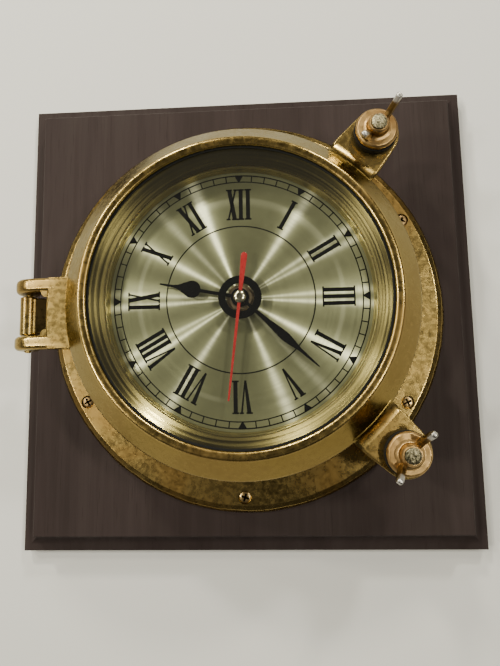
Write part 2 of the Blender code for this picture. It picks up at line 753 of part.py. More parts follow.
def make_hour_hand():
    bulb_y, bulb = 22.9, 4.1
    half = [(0.8, 9.9), (0.8, bulb_y - bulb + 0.3)]
    for x, y in arc((0.0, bulb_y), bulb, -70.0, 30.0, 8):
        half.append((x, y))
    half += [(2.3, 27.4), (1.2, 29.2), (0.6, 31.5), (0.35, 38.2)]
    outline = blade_outline(half, math.degrees(math.asin(0.08)))
    holes = [ring_window(0.8 * MM), circle(2.85 * MM, 16)]
    hand = plate("hour_hand", [outline, *holes], HOUR_HAND_Z, HOUR_HAND_Z + HAND_THICKNESS, "black_paint")
    hand.rotation_euler = (0.0, 0.0, -math.radians(HOUR_ANGLE))
    return hand


def make_minute_hand():
    half = [(0.8, 9.9), (1.2, 17.0), (2.0, 25.0), (2.15, 27.4), (1.75, 31.0), (0.8, 37.0), (0.3, 48.3)]
    outline = blade_outline(half, math.degrees(math.asin(0.08)))
    holes = [ring_window(0.8 * MM), circle(1.9 * MM, 16)]
    low = MINUTE_HAND_Z
    hand = plate("minute_hand", [outline, *holes], low, low + HAND_THICKNESS, "black_paint")
    hand.rotation_euler = (0.0, 0.0, -math.radians(MINUTE_ANGLE))
    return hand


def make_second_hand():
    tail = arc((0.0, -19.4), 1.5, 180.0, 360.0, 8)
    outline = [*tail, (1.05, -8.0), (0.75, 0.0), (0.4, 47.9), (-0.4, 47.9), (-0.75, 0.0), (-1.05, -8.0)]
    outline = [(x * MM, y * MM) for x, y in outline]
    low = SECOND_HAND_Z
    hand = plate("second_hand", [outline], low, low + HAND_THICKNESS, "red_paint")
    hub = cylinder("second_hub_adder", 2.2 * MM, low, low + HAND_THICKNESS)
    join(hand, hub)
    cut(hand, cylinder("second_hub_cutter", 1.5 * MM, low - MM, low + MM, steps=16))
    hand.rotation_euler = (0.0, 0.0, -math.radians(SECOND_ANGLE))
    cap = [
        (0.0, 68.0),
        (1.6, 68.0),
        (2.6, 67.7),
        (2.95, 67.1),
        (1.2, 67.1),
        (1.2, 66.2),
        (0.9, 66.2),
        (0.9, 67.5),
        (0.0, 67.5),
    ]
    turned("second_hand_cap", [(r * MM, z * MM) for r, z in cap], "steel", SMALL_STEPS, closed=False)
    return hand


# ----------------------------------------------------------- wheel train


def polar(distance, direction, start=(0.0, 0.0)):
    return start[0] + distance * math.cos(direction), start[1] + distance * math.sin(direction)


STEP_AT = polar(STEP_DISTANCE, STEP_DIRECTION)
ROTOR_AT = polar(ROTOR_DISTANCE, ROTOR_DIRECTION, STEP_AT)
THIRD_AT = polar(THIRD_DISTANCE, THIRD_DIRECTION)
MOTION_AT = polar(MOTION_DISTANCE, MOTION_DIRECTION)


def gear_outline(teeth, module, phase):
    """A spur gear with one tooth centred on the phase angle, in radians."""
    pitch_radius = module * teeth / 2
    root = pitch_radius - TOOTH_DEDENDUM * module
    tip = pitch_radius + TOOTH_ADDENDUM * module
    step = math.tau / teeth
    corners = (
        (root, -TOOTH_ROOT_SHARE),
        (tip, -TOOTH_TIP_SHARE),
        (tip, TOOTH_TIP_SHARE),
        (root, TOOTH_ROOT_SHARE),
    )
    points = []
    for tooth in range(teeth):
        for radius, share in corners:
            angle = phase + (tooth + share) * step
            points.append((radius * math.cos(angle), radius * math.sin(angle)))
    return points


def module_of(first, second, distance):
    return 2 * distance / (TEETH[first] + TEETH[second])


def meshing_phase(phase, first, second, direction):
    """The second gear's phase that puts its gap on the first gear's tooth."""
    ahead = (phase - direction) % (math.tau / TEETH[first])
    back = ahead * TEETH[first] / TEETH[second]
    return direction + math.pi - back + math.pi / TEETH[second]


def make_arbor(name, at, steps):
    """A turned arbor of (radius, top, bottom) lengths, listed from the top down, in mm."""
    profile = [(0.0, steps[0][1] * MM)]
    for radius, top, bottom in steps:
        profile += [(radius * MM, top * MM), (radius * MM, bottom * MM)]
    profile.append((0.0, steps[-1][2] * MM))
    return turned(name, profile, None, FINE_STEPS, closed=False, at=(*at, 0.0))


def make_wheel(name, at, material, gears, arbor, bore=None):
    """Gears of (outline, bottom, top), in mm, and an arbor in one piece, bored if hollow."""
    centre = (*at, 0.0)
    outline, low, high = gears[0]
    wheel = plate(name, [outline], low * MM, high * MM, material, at=centre)
    for index, (outline, low, high) in enumerate(gears[1:]):
        join(wheel, plate(f"{name}_pinion_{index}", [outline], low * MM, high * MM, at=centre))
    join(wheel, make_arbor(f"{name}_arbor", at, arbor))
    if bore:
        radius, low, high = bore
        cut(wheel, cylinder(f"{name}_bore", radius * MM, low * MM, high * MM, steps=16, at=centre))
    return freeze(wheel)


def make_train():
    axes = {}
    bottom = ARBOR_BOTTOM / MM
    module = module_of("step_pinion", "second", STEP_DISTANCE)
    second = gear_outline(TEETH["second"], module, 0.0)
    step_phase = meshing_phase(0.0, "second", "step_pinion", STEP_DIRECTION)
    step_pinion = gear_outline(TEETH["step_pinion"], module, step_phase)
    module = module_of("rotor_pinion", "step", ROTOR_DISTANCE)
    step = gear_outline(TEETH["step"], module, 0.0)
    rotor_phase = meshing_phase(0.0, "step", "rotor_pinion", ROTOR_DIRECTION)
    rotor_pinion = gear_outline(TEETH["rotor_pinion"], module, rotor_phase)
    module = module_of("second_pinion", "third", THIRD_DISTANCE)
    second_pinion = gear_outline(TEETH["second_pinion"], module, 0.0)
    third_phase = meshing_phase(0.0, "second_pinion", "third", THIRD_DIRECTION)
    third = gear_outline(TEETH["third"], module, third_phase)
    module = module_of("third_pinion", "minute", THIRD_DISTANCE)
    third_pinion = gear_outline(TEETH["third_pinion"], module, 0.0)
    minute_phase = meshing_phase(0.0, "third_pinion", "minute", THIRD_DIRECTION + math.pi)
    minute = gear_outline(TEETH["minute"], module, minute_phase)
    module = module_of("cannon_pinion", "motion", MOTION_DISTANCE)
    cannon = gear_outline(TEETH["cannon_pinion"], module, 0.0)
    motion_phase = meshing_phase(0.0, "cannon_pinion", "motion", MOTION_DIRECTION)
    motion = gear_outline(TEETH["motion"], module, motion_phase)
    module = module_of("motion_pinion", "hour", MOTION_DISTANCE)
    motion_pinion = gear_outline(TEETH["motion_pinion"], module, 0.0)
    hour_phase = meshing_phase(0.0, "motion_pinion", "hour", MOTION_DIRECTION + math.pi)
    hour = gear_outline(TEETH["hour"], module, hour_phase)

    centre = (0.0, 0.0)
    axes["second"] = make_wheel(
        "second_wheel", centre, "white_plastic", [(second, 45.2, 45.9), (second_pinion, 45.8, 47.6)],
        [(0.6, 67.2, 48.0), (0.5, 48.0, bottom)],
    )
    axes["minute"] = make_wheel(
        "minute_wheel", centre, "white_plastic", [(minute, 48.1, 48.8), (cannon, 48.7, 52.2)],
        [(1.6, 66.0, 48.3)], bore=(0.95, 47.0, 67.0),
    )
    axes["hour"] = make_wheel(
        "hour_wheel", centre, "white_plastic", [(hour, 53.0, 53.8)],
        [(2.5, 64.9, 53.2)], bore=(1.95, 52.0, 66.0),
    )
    axes["third"] = make_wheel(
        "third_wheel", THIRD_AT, "white_plastic", [(third, 46.4, 47.1), (third_pinion, 47.0, 49.1)],
        [(0.5, 50.0, bottom)],
    )
    axes["step"] = make_wheel(
        "step_wheel", STEP_AT, "white_plastic", [(step, 43.8, 44.5), (step_pinion, 44.4, 46.4)],
        [(0.5, 50.0, bottom)],
    )
    axes["motion"] = make_wheel(
        "motion_wheel", MOTION_AT, "white_plastic", [(motion, 50.9, 51.6), (motion_pinion, 51.5, 54.2)],
        [(0.8, 54.6, 41.6)],
    )
    axes["rotor"] = make_wheel(
        "rotor", ROTOR_AT, "steel", [(rotor_pinion, 43.4, 45.0)],
        [(0.5, 50.0, 47.4), (2.0, 47.4, 45.2), (0.5, 45.2, bottom)],
    )
    grip = [(0.0, 41.3), (3.0, 41.3), (5.0, 40.9), (5.0, 39.4), (4.6, 38.9), (0.0, 38.9)]
    knob = turned(
        "set_knob", [(r * MM, z * MM) for r, z in grip], "white_plastic", SMALL_STEPS, False, (*MOTION_AT, 0.0)
    )
    cut(knob, cylinder("knob_bore", 1.1 * MM, 40.0 * MM, 43.0 * MM, steps=FINE_STEPS, at=(*MOTION_AT, 0.0)))
    return axes, knob


# ------------------------------------------------------------- movement


def make_movement_cases():
    outer = rounded_rectangle(CASE_SIDE, CASE_SIDE, 6.0 * MM)
    inner_side = CASE_SIDE - 2 * CASE_WALL
    inner = rounded_rectangle(inner_side, inner_side, 4.8 * MM)

    front = plate("front_case", [outer], CASE_SPLIT + 0.1 * MM, CASE_FRONT, "black_plastic")
    cut(front, plate("front_hollow_cutter", [inner], CASE_SPLIT - MM, CASE_FRONT - CASE_WALL))
    join(front, cylinder("bush_adder", BUSH_RADIUS, CASE_FRONT - 0.6 * MM, BUSH_TOP))
    cut(front, cylinder("bush_cutter", 2.85 * MM, CASE_SPLIT, BUSH_TOP + MM, steps=SMALL_STEPS))
    freeze(front)

    rear = plate("rear_case", [outer], CASE_BACK, CASE_SPLIT - 0.2 * MM, "black_plastic")
    floor = CASE_BACK + CASE_WALL
    cut(rear, plate("rear_hollow_cutter", [inner], floor, CASE_SPLIT + MM))
    bay = rectangle(-25.8 * MM, 25.8 * MM, -25.6 * MM, -12.4 * MM)
    cut(rear, plate("battery_bay_cutter", [bay], CASE_BACK - MM, floor + MM))
    rib = rectangle(-27.0 * MM, 27.0 * MM, -11.4 * MM, -10.4 * MM)
    join(rear, plate("battery_rib_adder", [rib], floor - 0.4 * MM, 49.0 * MM))
    for index, (x, y) in enumerate(((-23.5, -7.5), (23.5, -7.5), (4.0, 23.5))):
        place = (x * MM, y * MM, 0.0)
        join(rear, cylinder(f"post_adder_{index}", 1.6 * MM, floor - 0.4 * MM, 49.1 * MM, steps=FINE_STEPS, at=place))
    for index, at in enumerate(((0.0, 0.0), THIRD_AT, STEP_AT, ROTOR_AT)):
        boss = cylinder(f"pivot_adder_{index}", 1.5 * MM, floor - 0.4 * MM, floor + GAP, steps=FINE_STEPS)
        boss.location = (*at, 0.0)
        hole = cylinder(f"pivot_cutter_{index}", 0.8 * MM, ARBOR_BOTTOM - GAP, floor + MM, steps=FINE_STEPS)
        hole.location = (*at, 0.0)
        join(rear, boss)
        cut(rear, hole)
    shaft = cylinder("knob_shaft_cutter", 1.1 * MM, CASE_BACK - MM, floor + MM, steps=FINE_STEPS)
    shaft.location = (*MOTION_AT, 0.0)
    cut(rear, shaft)
    freeze(rear)

    outline = rectangle(-26.5 * MM, 26.5 * MM, -9.9 * MM, 21.0 * MM)
    holes = [circle(3.3 * MM, SMALL_STEPS), circle(1.1 * MM, FINE_STEPS, MOTION_AT)]
    holes += [circle(0.8 * MM, FINE_STEPS, at) for at in (THIRD_AT, STEP_AT, ROTOR_AT)]
    plate("middle_plate", [outline, *holes], PLATE_BOTTOM, PLATE_TOP, "white_plastic")


def make_motor():
    board = rectangle(-25.5 * MM, -6.0 * MM, 9.5 * MM, 25.0 * MM)
    plate("circuit_board", [board], 44.0 * MM, 44.8 * MM, "board_green")
    can = cylinder("crystal_can", 1.0 * MM, -3.0 * MM, 3.0 * MM, "steel", FINE_STEPS)
    can.rotation_euler = (math.radians(90.0), 0.0, 0.0)
    can.location = (-15.0 * MM, 17.0 * MM, 46.1 * MM)
    x, y = ROTOR_AT
    lobe = arc((x, y), 4.2 * MM, 90.0, 270.0, 9)
    limb = [(22.7, -1.9), (22.7, 24.6), (20.3, 24.6), (20.3, 3.6), (17.5, 6.0)]
    outline = lobe + [(a * MM, b * MM) for a, b in limb]
    hole = circle(2.4 * MM, SMALL_STEPS, (x, y))
    plate("stator", [outline, hole], 45.8 * MM, 46.8 * MM, "steel")
    block = rectangle(18.3 * MM, 25.0 * MM, 43.4 * MM, 49.0 * MM)
    tunnel = rectangle(20.0 * MM, 23.0 * MM, 45.5 * MM, 47.1 * MM)
    half = 8.2 * MM
    coil = plate("coil", [block, tunnel], -half, half, "copper", at=(0.0, 14.8 * MM, 0.0))
    coil.rotation_euler = (math.radians(90.0), 0.0, 0.0)


def make_battery():
    turn_to_x = (0.0, math.radians(90.0), 0.0)
    place = (0.0, BATTERY_Y, BATTERY_Z)
    profile = [(0.0, 25.7), (2.6, 25.7), (2.6, 24.4), (6.4, 24.4), (7.0, 23.8), (7.0, -24.0), (6.4, -24.6),
               (0.0, -24.6)]
    cell = turned("battery", [(r * MM, z * MM) for r, z in profile], "battery_sleeve", SMALL_STEPS, False, place)
    cell.rotation_euler = turn_to_x
    spring = [(0.0, -24.9), (1.4, -24.9), (3.6, -25.8), (3.6, -26.4), (0.0, -26.4)]
    coil = turned("contact_negative", [(r * MM, z * MM) for r, z in spring], "steel", 16, False, place)
    coil.rotation_euler = turn_to_x
    tongue = rectangle(-3.8 * MM, 3.8 * MM, -3.8 * MM, 3.8 * MM)
    contact = plate("contact_positive", [tongue], 26.0 * MM, 26.4 * MM, "steel", at=place)
    contact.rotation_euler = turn_to_x


# -------------------------------------------------------------- assembly


def build():
    make_plaque()
    make_hanger()
    make_base_ring()
    make_flange_screws()
    make_hinge_pin()

    door_axis = axis_empty("door_axis", (HINGE_X, HINGE_Y, HINGE_Z))
    carry(door_axis, make_door_ring(), *make_glazing())
    make_dogs(door_axis)

    make_dial()
    make_movement_cases()
    make_motor()
    make_battery()
    wheels, knob = make_train()
    hands = {"hour": make_hour_hand(), "minute": make_minute_hand(), "second": make_second_hand()}
    for name, wheel in wheels.items():
        axis = axis_empty(f"{name}_axis", Vector((wheel.location.x, wheel.location.y, CASE_BACK)))
        carry(axis, wheel)
        if name in hands:
            carry(axis, hands[name])
        if name == "second":
            carry(axis, bpy.data.objects["second_hand_cap"])
        if name == "motion":
            carry(axis, knob)


build()
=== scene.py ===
import json
import math

import bmesh
import bpy
from mathutils import Matrix, Vector, noise


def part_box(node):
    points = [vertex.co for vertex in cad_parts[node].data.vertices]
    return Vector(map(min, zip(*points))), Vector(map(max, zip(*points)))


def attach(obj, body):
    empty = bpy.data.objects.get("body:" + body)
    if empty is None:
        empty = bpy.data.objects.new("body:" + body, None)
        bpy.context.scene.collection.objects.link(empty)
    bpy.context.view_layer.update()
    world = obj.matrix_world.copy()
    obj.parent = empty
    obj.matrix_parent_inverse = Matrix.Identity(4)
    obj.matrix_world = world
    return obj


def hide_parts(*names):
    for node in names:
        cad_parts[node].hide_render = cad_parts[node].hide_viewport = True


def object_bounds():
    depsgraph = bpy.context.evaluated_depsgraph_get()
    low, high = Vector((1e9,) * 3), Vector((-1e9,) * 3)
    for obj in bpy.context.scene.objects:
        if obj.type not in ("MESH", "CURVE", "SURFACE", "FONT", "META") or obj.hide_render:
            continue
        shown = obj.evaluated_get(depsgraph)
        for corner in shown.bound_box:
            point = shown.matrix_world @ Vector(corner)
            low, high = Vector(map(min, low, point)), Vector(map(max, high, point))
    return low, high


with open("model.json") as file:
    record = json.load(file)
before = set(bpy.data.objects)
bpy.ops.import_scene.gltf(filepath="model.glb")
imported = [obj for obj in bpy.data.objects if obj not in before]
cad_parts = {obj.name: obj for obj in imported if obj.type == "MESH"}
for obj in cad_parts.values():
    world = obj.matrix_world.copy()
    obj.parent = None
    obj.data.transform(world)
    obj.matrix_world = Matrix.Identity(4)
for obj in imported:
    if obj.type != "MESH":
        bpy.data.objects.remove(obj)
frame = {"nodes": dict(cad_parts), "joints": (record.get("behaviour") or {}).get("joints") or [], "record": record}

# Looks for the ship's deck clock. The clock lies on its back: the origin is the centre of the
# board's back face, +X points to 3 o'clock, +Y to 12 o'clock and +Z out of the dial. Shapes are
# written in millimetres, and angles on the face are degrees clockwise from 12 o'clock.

MM = 0.001
CAD_LOW, CAD_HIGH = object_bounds()
JOINTS = {joint["name"]: joint for joint in frame["joints"]}


def in_mm(value):
    return tuple(part / MM for part in value)


HINGE = in_mm(JOINTS["door_hinge"]["pos_m"])
DOG_AXES = {name: in_mm(JOINTS[f"{name}_dog_turn"]["pos_m"]) for name in ("upper", "lower")}
WING_ANGLES = {"upper": 43.0, "lower": 38.5}
HAND_ANGLES = {"hour": 281.1, "minute": 132.8, "second": 186.9}
DOG_RADIUS = 102.5
DIAL_TOP = 60.5
SCREW_CIRCLE, FIRST_SCREW = 97.9, 1.0
HANGER_Y = 100.0


# ------------------------------------------------------------------ shapes


def arc(centre, radius, start, end, count):
    """Points on an arc, ends included, in degrees counter-clockwise from +X."""
    points = []
    for index in range(count):
        angle = math.radians(start + (end - start) * index / (count - 1))
        points.append((centre[0] + radius * math.cos(angle), centre[1] + radius * math.sin(angle)))
    return points


def circle(radius, count, centre=(0.0, 0.0)):
    return arc(centre, radius, 0.0, 360.0 * (count - 1) / count, count)


def on_face(radius, clockwise):
    angle = math.radians(clockwise)
    return radius * math.sin(angle), radius * math.cos(angle)


def clockwise_of(place):
    return math.degrees(math.atan2(place[0], place[1]))


def screw_spots():
    """The middles of the six flange screws."""
    return [on_face(SCREW_CIRCLE, FIRST_SCREW + 60.0 * index) for index in range(6)]


def soften(outline, radius, steps=4):
    """Rounds an outline's corners. A corner may carry its own radius as a third value."""
    result = []
    for index, corner in enumerate(outline):
        here = Vector(corner[:2])
        size = corner[2] if len(corner) > 2 else radius
        before = Vector(outline[index - 1][:2]) - here
        after = Vector(outline[(index + 1) % len(outline)][:2]) - here
        if size <= 0.0 or before.angle(after) > math.radians(176.0):
            result.append(tuple(here))
            continue
        reach = size / math.tan(before.angle(after) / 2)
        reach = min(reach, 0.46 * before.length, 0.46 * after.length)
        start = here + before.normalized() * reach
        end = here + after.normalized() * reach
        for step in range(steps + 1):
            share = step / steps
            point = start * (1 - share) ** 2 + here * 2 * share * (1 - share) + end * share**2
            result.append(tuple(point))
    return result


def flowing(points, count):
    """A smooth curve through the points, with count points on each stretch."""
    ends = [2 * Vector(points[0]) - Vector(points[1])]
    ends += [Vector(point) for point in points]
    ends.append(2 * ends[-1] - ends[-2])
    result = []
    for p0, p1, p2, p3 in zip(ends, ends[1:], ends[2:], ends[3:]):
        for step in range(count):
            t = step / count
            point = 2 * p1 + (p2 - p0) * t + (2 * p0 - 5 * p1 + 4 * p2 - p3) * t**2
            point += (3 * p1 - p0 - 3 * p2 + p3) * t**3
            result.append(tuple(point / 2))
    result.append(tuple(points[-1]))
    return result


def lathe(work, profile, steps=256, closed=True, place=None):
    """Adds a solid of revolution about Z, from a profile of (radius, z)."""
    place = place or Matrix()
    rings = []
    for radius, z in profile:
        count = 1 if radius < 0.0001 else steps
        ring = []
        for index in range(count):
            angle = math.tau * index / steps
            point = Vector((radius * math.cos(angle), radius * math.sin(angle), z))
            ring.append(work.verts.new(place @ point))
        rings.append(ring)
    pairs = list(zip(rings, rings[1:]))
    if closed:
        pairs.append((rings[-1], rings[0]))
    for one, other in pairs:
        for index in range(steps):
            after = (index + 1) % steps
            if len(one) == 1 and len(other) == 1:
                continue
            if len(one) == 1:
                work.faces.new((one[0], other[index], other[after]))
            elif len(other) == 1:
                work.faces.new((one[index], other[0], one[after]))
            else:
                work.faces.new((one[index], other[index], other[after], one[after]))


def plate(work, outlines, low, high, bevel=0.0, place=None):
    """Adds a flat outline, with any holes after it, between two heights, its edges rounded."""
    curve = bpy.data.curves.new("outline", "CURVE")
    curve.dimensions = "2D"
    curve.fill_mode = "BOTH"
    curve.extrude = (high - low) / 2 - bevel
    curve.bevel_depth = bevel
    curve.bevel_resolution = 2
    curve.offset = -bevel
    for outline in outlines:
        spline = curve.splines.new("POLY")
        spline.points.add(len(outline) - 1)
        for point, corner in zip(spline.points, outline):
            point.co = (corner[0], corner[1], 0.0, 1.0)
        spline.use_cyclic_u = True
    guide = bpy.data.objects.new("outline", curve)
    bpy.context.scene.collection.objects.link(guide)
    bpy.context.view_layer.update()
    graph = bpy.context.evaluated_depsgraph_get()
    mesh = bpy.data.meshes.new_from_object(guide.evaluated_get(graph))
    bpy.data.objects.remove(guide)
    bpy.data.curves.remove(curve)
    shift = Matrix.Translation((0.0, 0.0, (low + high) / 2))
    mesh.transform((place or Matrix()) @ shift)
    work.from_mesh(mesh)
    bpy.data.meshes.remove(mesh)


def skin(work, sections):
    """Joins sections with the same number of corners, one after another."""
    for one, other in zip(sections, sections[1:]):
        for index in range(len(one)):
            after = (index + 1) % len(one)
            work.faces.new((one[index], one[after], other[after], other[index]))


def ink(work, outline, low, high):
    """Adds one printed stroke: its outline between two heights."""
    top = [work.verts.new((x, y, high)) for x, y in outline]
    bottom = [work.verts.new((x, y, low)) for x, y in outline]
    work.faces.new(top)
    work.faces.new(bottom[::-1])
    for index in range(len(outline)):
        after = (index + 1) % len(outline)
        work.faces.new((top[index], bottom[index], bottom[after], top[after]))


def standing(y=0.0):
    """Turns a plate so that its outline's Y becomes Z and its thickness lies along Y."""
    return Matrix.Translation((0.0, y, 0.0)) @ Matrix.Rotation(math.radians(90.0), 4, "X")


def facing(clockwise):
    """Turns a shape whose outer end is +X so that it points to an angle on the face."""
    return Matrix.Rotation(math.radians(90.0 - clockwise), 4, "Z")


def as_mesh(work, name):
    bmesh.ops.remove_doubles(work, verts=work.verts, dist=0.0008)
    bmesh.ops.recalc_face_normals(work, faces=work.faces)
    mesh = bpy.data.meshes.new(name)
    work.to_mesh(mesh)
    work.free()
    return mesh


def carved(mesh, cutter_work):
    """The mesh with everything in the second shape taken away."""
    body = bpy.data.objects.new("body", mesh)
    cutter = bpy.data.objects.new("cutter", as_mesh(cutter_work, "cutter"))
    for obj in (body, cutter):
        bpy.context.scene.collection.objects.link(obj)
    modifier = body.modifiers.new("cut", "BOOLEAN")
    modifier.operation = "DIFFERENCE"
    modifier.solver = "EXACT"
    modifier.object = cutter
    bpy.context.view_layer.update()
    graph = bpy.context.evaluated_depsgraph_get()
    result = bpy.data.meshes.new_from_object(body.evaluated_get(graph))
    for obj in (body, cutter):
        bpy.data.objects.remove(obj)
    return result


def roughen(work, amount, size, chosen=None):
    """Moves vertices a little, for a cast or hammered surface."""
    for vertex in work.verts:
        if chosen is None or chosen(vertex.co):
            shift = noise.noise_vector(vertex.co / size)
            vertex.co += shift * amount


def piece(name, work, material, body, nodes=(), sharp=42.0):
    """Makes the finished object, in the row frame, from a shape or mesh in millimetres."""
    mesh = as_mesh(work, name) if isinstance(work, bmesh.types.BMesh) else work
    mesh.name = name
    mesh.transform(Matrix.Scale(MM, 4))
    mesh.materials.clear()
    mesh.materials.append(material)
    mesh.shade_smooth()
    mesh.set_sharp_from_angle(angle=math.radians(sharp))
    obj = bpy.data.objects.new(name, mesh)
    bpy.context.scene.collection.objects.link(obj)
    even = obj.modifiers.new("even_shading", "WEIGHTED_NORMAL")
    even.keep_sharp = True
    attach(obj, body)
    if nodes:
        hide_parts(*nodes)
    return obj


# --------------------------------------------------------------- materials


class Nodes:
    """Short ways to add shader nodes and to join them."""

    def __init__(self, tree):
        self.tree = tree

    def node(self, kind, **settings):
        node = self.tree.nodes.new(kind)
        for name, value in settings.items():
            setattr(node, name, value)
        return node

    def feed(self, socket, value):
        if isinstance(value, bpy.types.NodeSocket):
            self.tree.links.new(value, socket)
        else:
            socket.default_value = value

    def math(self, operation, first, second=0.0, clamp=False):
        node = self.node("ShaderNodeMath", operation=operation, use_clamp=clamp)
        self.feed(node.inputs[0], first)
        self.feed(node.inputs[1], second)
        return node.outputs[0]

    def vector(self, operation, *values):
        node = self.node("ShaderNodeVectorMath", operation=operation)
        for socket, value in zip(node.inputs, values):
            self.feed(socket, value)
        return node

    def weighted(self, first, share, second):
        """A share of the first value and the rest of the second."""
        return self.math("ADD", self.math("MULTIPLY", first, share), self.math("MULTIPLY", second, 1.0 - share))

    def band(self, value, low, high, to_low=0.0, to_high=1.0, shape="SMOOTHSTEP"):
        """Maps a range of values to another, clamped, and smoothly unless told otherwise."""
        node = self.node("ShaderNodeMapRange", interpolation_type=shape)
        for socket, part in zip(("Value", "From Min", "From Max", "To Min", "To Max"),
                                (value, low, high, to_low, to_high)):
            self.feed(node.inputs[socket], part)
        return node.outputs["Result"]

    def axes(self, place):
        node = self.node("ShaderNodeSeparateXYZ")
        self.feed(node.inputs[0], place)
        return node.outputs


class Finish(Nodes):
    """A procedural material, built from object coordinates in metres."""

    def __init__(self, name, metallic=0.0, roughness=0.4, colour=(0.5, 0.5, 0.5), **fixed):
        self.material = bpy.data.materials.new(name)
        self.material.use_nodes = True
        super().__init__(self.material.node_tree)
        self.shader = self.tree.nodes["Principled BSDF"]
        self.set("Metallic", metallic)
        self.set("Roughness", roughness)
        self.set("Base Color", (*colour, 1.0))
        for socket, value in fixed.items():
            self.set(socket.replace("_", " "), value)
        self.place = self.node("ShaderNodeTexCoord").outputs["Object"]
        self.normal = None

    def set(self, socket, value):
        self.shader.inputs[socket].default_value = value

    def noise(self, scale, detail=4.0, roughness=0.55, distortion=0.0, place=None):
        node = self.node("ShaderNodeTexNoise")
        self.feed(node.inputs["Vector"], place or self.place)
        node.inputs["Scale"].default_value = scale
        node.inputs["Detail"].default_value = detail
        node.inputs["Roughness"].default_value = roughness
        node.inputs["Distortion"].default_value = distortion
        return node.outputs["Fac"]

    def stretched(self, x, y, z):
        node = self.node("ShaderNodeMapping")
        self.feed(node.inputs["Vector"], self.place)
        node.inputs["Scale"].default_value = (x, y, z)
        return node.outputs["Vector"]

    def mix(self, share, first, second):
        node = self.node("ShaderNodeMix", data_type="RGBA", blend_type="MIX")
        self.feed(node.inputs["Factor"], share)
        for socket, value in ((node.inputs[6], first), (node.inputs[7], second)):
            self.feed(socket, (*value, 1.0) if isinstance(value, tuple) else value)
        return node.outputs[2]

    def length(self, x, y):
        return self.math("SQRT", self.math("ADD", self.math("MULTIPLY", x, x), self.math("MULTIPLY", y, y)))

    def polar(self):
        """The radius from the clock's axis in metres, and the angle clockwise from 12 in degrees."""
        x, y, z = self.axes(self.place)
        radius = self.length(x, y)
        angle = self.math("MULTIPLY", self.math("ARCTAN2", x, y), 180.0 / math.pi)
        return radius, angle, z

    def turned_lines(self, radius, z, scale, detail=3.0):
        """Fine marks that run round the clock's axis, as a lathe or brush leaves them."""
        vector = self.node("ShaderNodeCombineXYZ")
        self.feed(vector.inputs[0], self.math("MULTIPLY", radius, scale))
        self.feed(vector.inputs[1], self.math("MULTIPLY", z, scale))
        x, y, _ = self.axes(self.place)
        around = self.math("ADD", x, self.math("MULTIPLY", y, 0.7))
        self.feed(vector.inputs[2], self.math("MULTIPLY", around, scale * 0.012))
        return self.noise(1.0, detail, 0.6, place=vector.outputs[0])

    def brush_round(self):
        """Runs the brushing round the clock's axis."""
        tangent = self.node("ShaderNodeTangent", direction_type="RADIAL", axis="Z")
        self.feed(self.shader.inputs["Tangent"], tangent.outputs[0])

    def bump(self, height, distance, strength):
        node = self.node("ShaderNodeBump")
        node.inputs["Strength"].default_value = strength
        node.inputs["Distance"].default_value = distance
        self.feed(node.inputs["Height"], height)
        if self.normal:
            self.feed(node.inputs["Normal"], self.normal)
        self.normal = node.outputs["Normal"]
        self.feed(self.shader.inputs["Normal"], self.normal)

    def done(self, colour=None, roughness=None):
        if colour is not None:
            self.feed(self.shader.inputs["Base Color"], colour)
        if roughness is not None:
            self.feed(self.shader.inputs["Roughness"], roughness)
        return self.material


def old_brass(name, bright, brown, roughness, wear=0.5, lump=0.00003, over=None):
    """Cast and polished brass: brown tarnish in patches, fine scratches and small pits."""
    finish = Finish(name, metallic=1.0, Specular_Tint=(0.72, 0.73, 0.66, 1.0))
    patches = finish.noise(34.0, 2.0, 0.45, 0.5)
    small = finish.noise(420.0, 5.0, 0.65)
    grain = finish.noise(1900.0, 3.0, 0.6)
    scratch_one = finish.noise(1.0, 2.0, 0.5, 0.2, finish.stretched(260.0, 3200.0, 1500.0))
    scratch_two = finish.noise(1.0, 2.0, 0.5, 0.2, finish.stretched(3000.0, 340.0, 1500.0))
    stained = finish.band(finish.weighted(patches, 0.88, small), 0.70 - 0.16 * wear, 0.36 - 0.10 * wear)
    colour = finish.mix(stained, bright, brown)
    marks = finish.math("MULTIPLY", finish.band(scratch_one, 0.60, 0.72), finish.band(patches, 0.35, 0.6))
    colour = finish.mix(finish.math("MULTIPLY", marks, 0.35), colour, tuple(min(1.0, 1.35 * c) for c in bright))
    pit = finish.band(finish.noise(640.0, 2.0, 0.5), 0.27, 0.20)
    colour = finish.mix(finish.math("MULTIPLY", pit, 0.5), colour, tuple(0.35 * c for c in brown))
    rough = finish.math("ADD", finish.band(small, 0.3, 0.7, roughness - 0.05, roughness + 0.08),
                        finish.math("MULTIPLY", stained, 0.10))
    if over:
        colour = over(finish, colour)
    finish.bump(patches, lump * 4.0, 0.4)
    finish.bump(small, lump * 0.15, 0.4)
    scratches = finish.math("ADD", finish.band(scratch_one, 0.55, 0.75), finish.band(scratch_two, 0.60, 0.78))
    finish.bump(finish.math("ADD", grain, finish.math("MULTIPLY", scratches, -0.8)), 0.000007, 0.6)
    finish.bump(finish.math("MULTIPLY", pit, -1.0), 0.00005, 0.5)
    return finish.done(colour, rough)


def hinge_pocket_painted_shade(finish, colour):
    """Painted shade: near-black colour between the hinge barrel and the case, where shade falls in that pocket."""
    x, y, _ = finish.axes(finish.place)
    inside = finish.math("MULTIPLY", finish.band(x, -0.1032, -0.1024), finish.band(x, -0.0905, -0.0915))
    away = finish.math("ABSOLUTE", finish.math("SUBTRACT", y, HINGE[1] * MM))
    inside = finish.math("MULTIPLY", inside, finish.band(away, 0.0105, 0.0095))
    return finish.mix(finish.math("MULTIPLY", inside, 0.96), colour, (0.006, 0.004, 0.002))


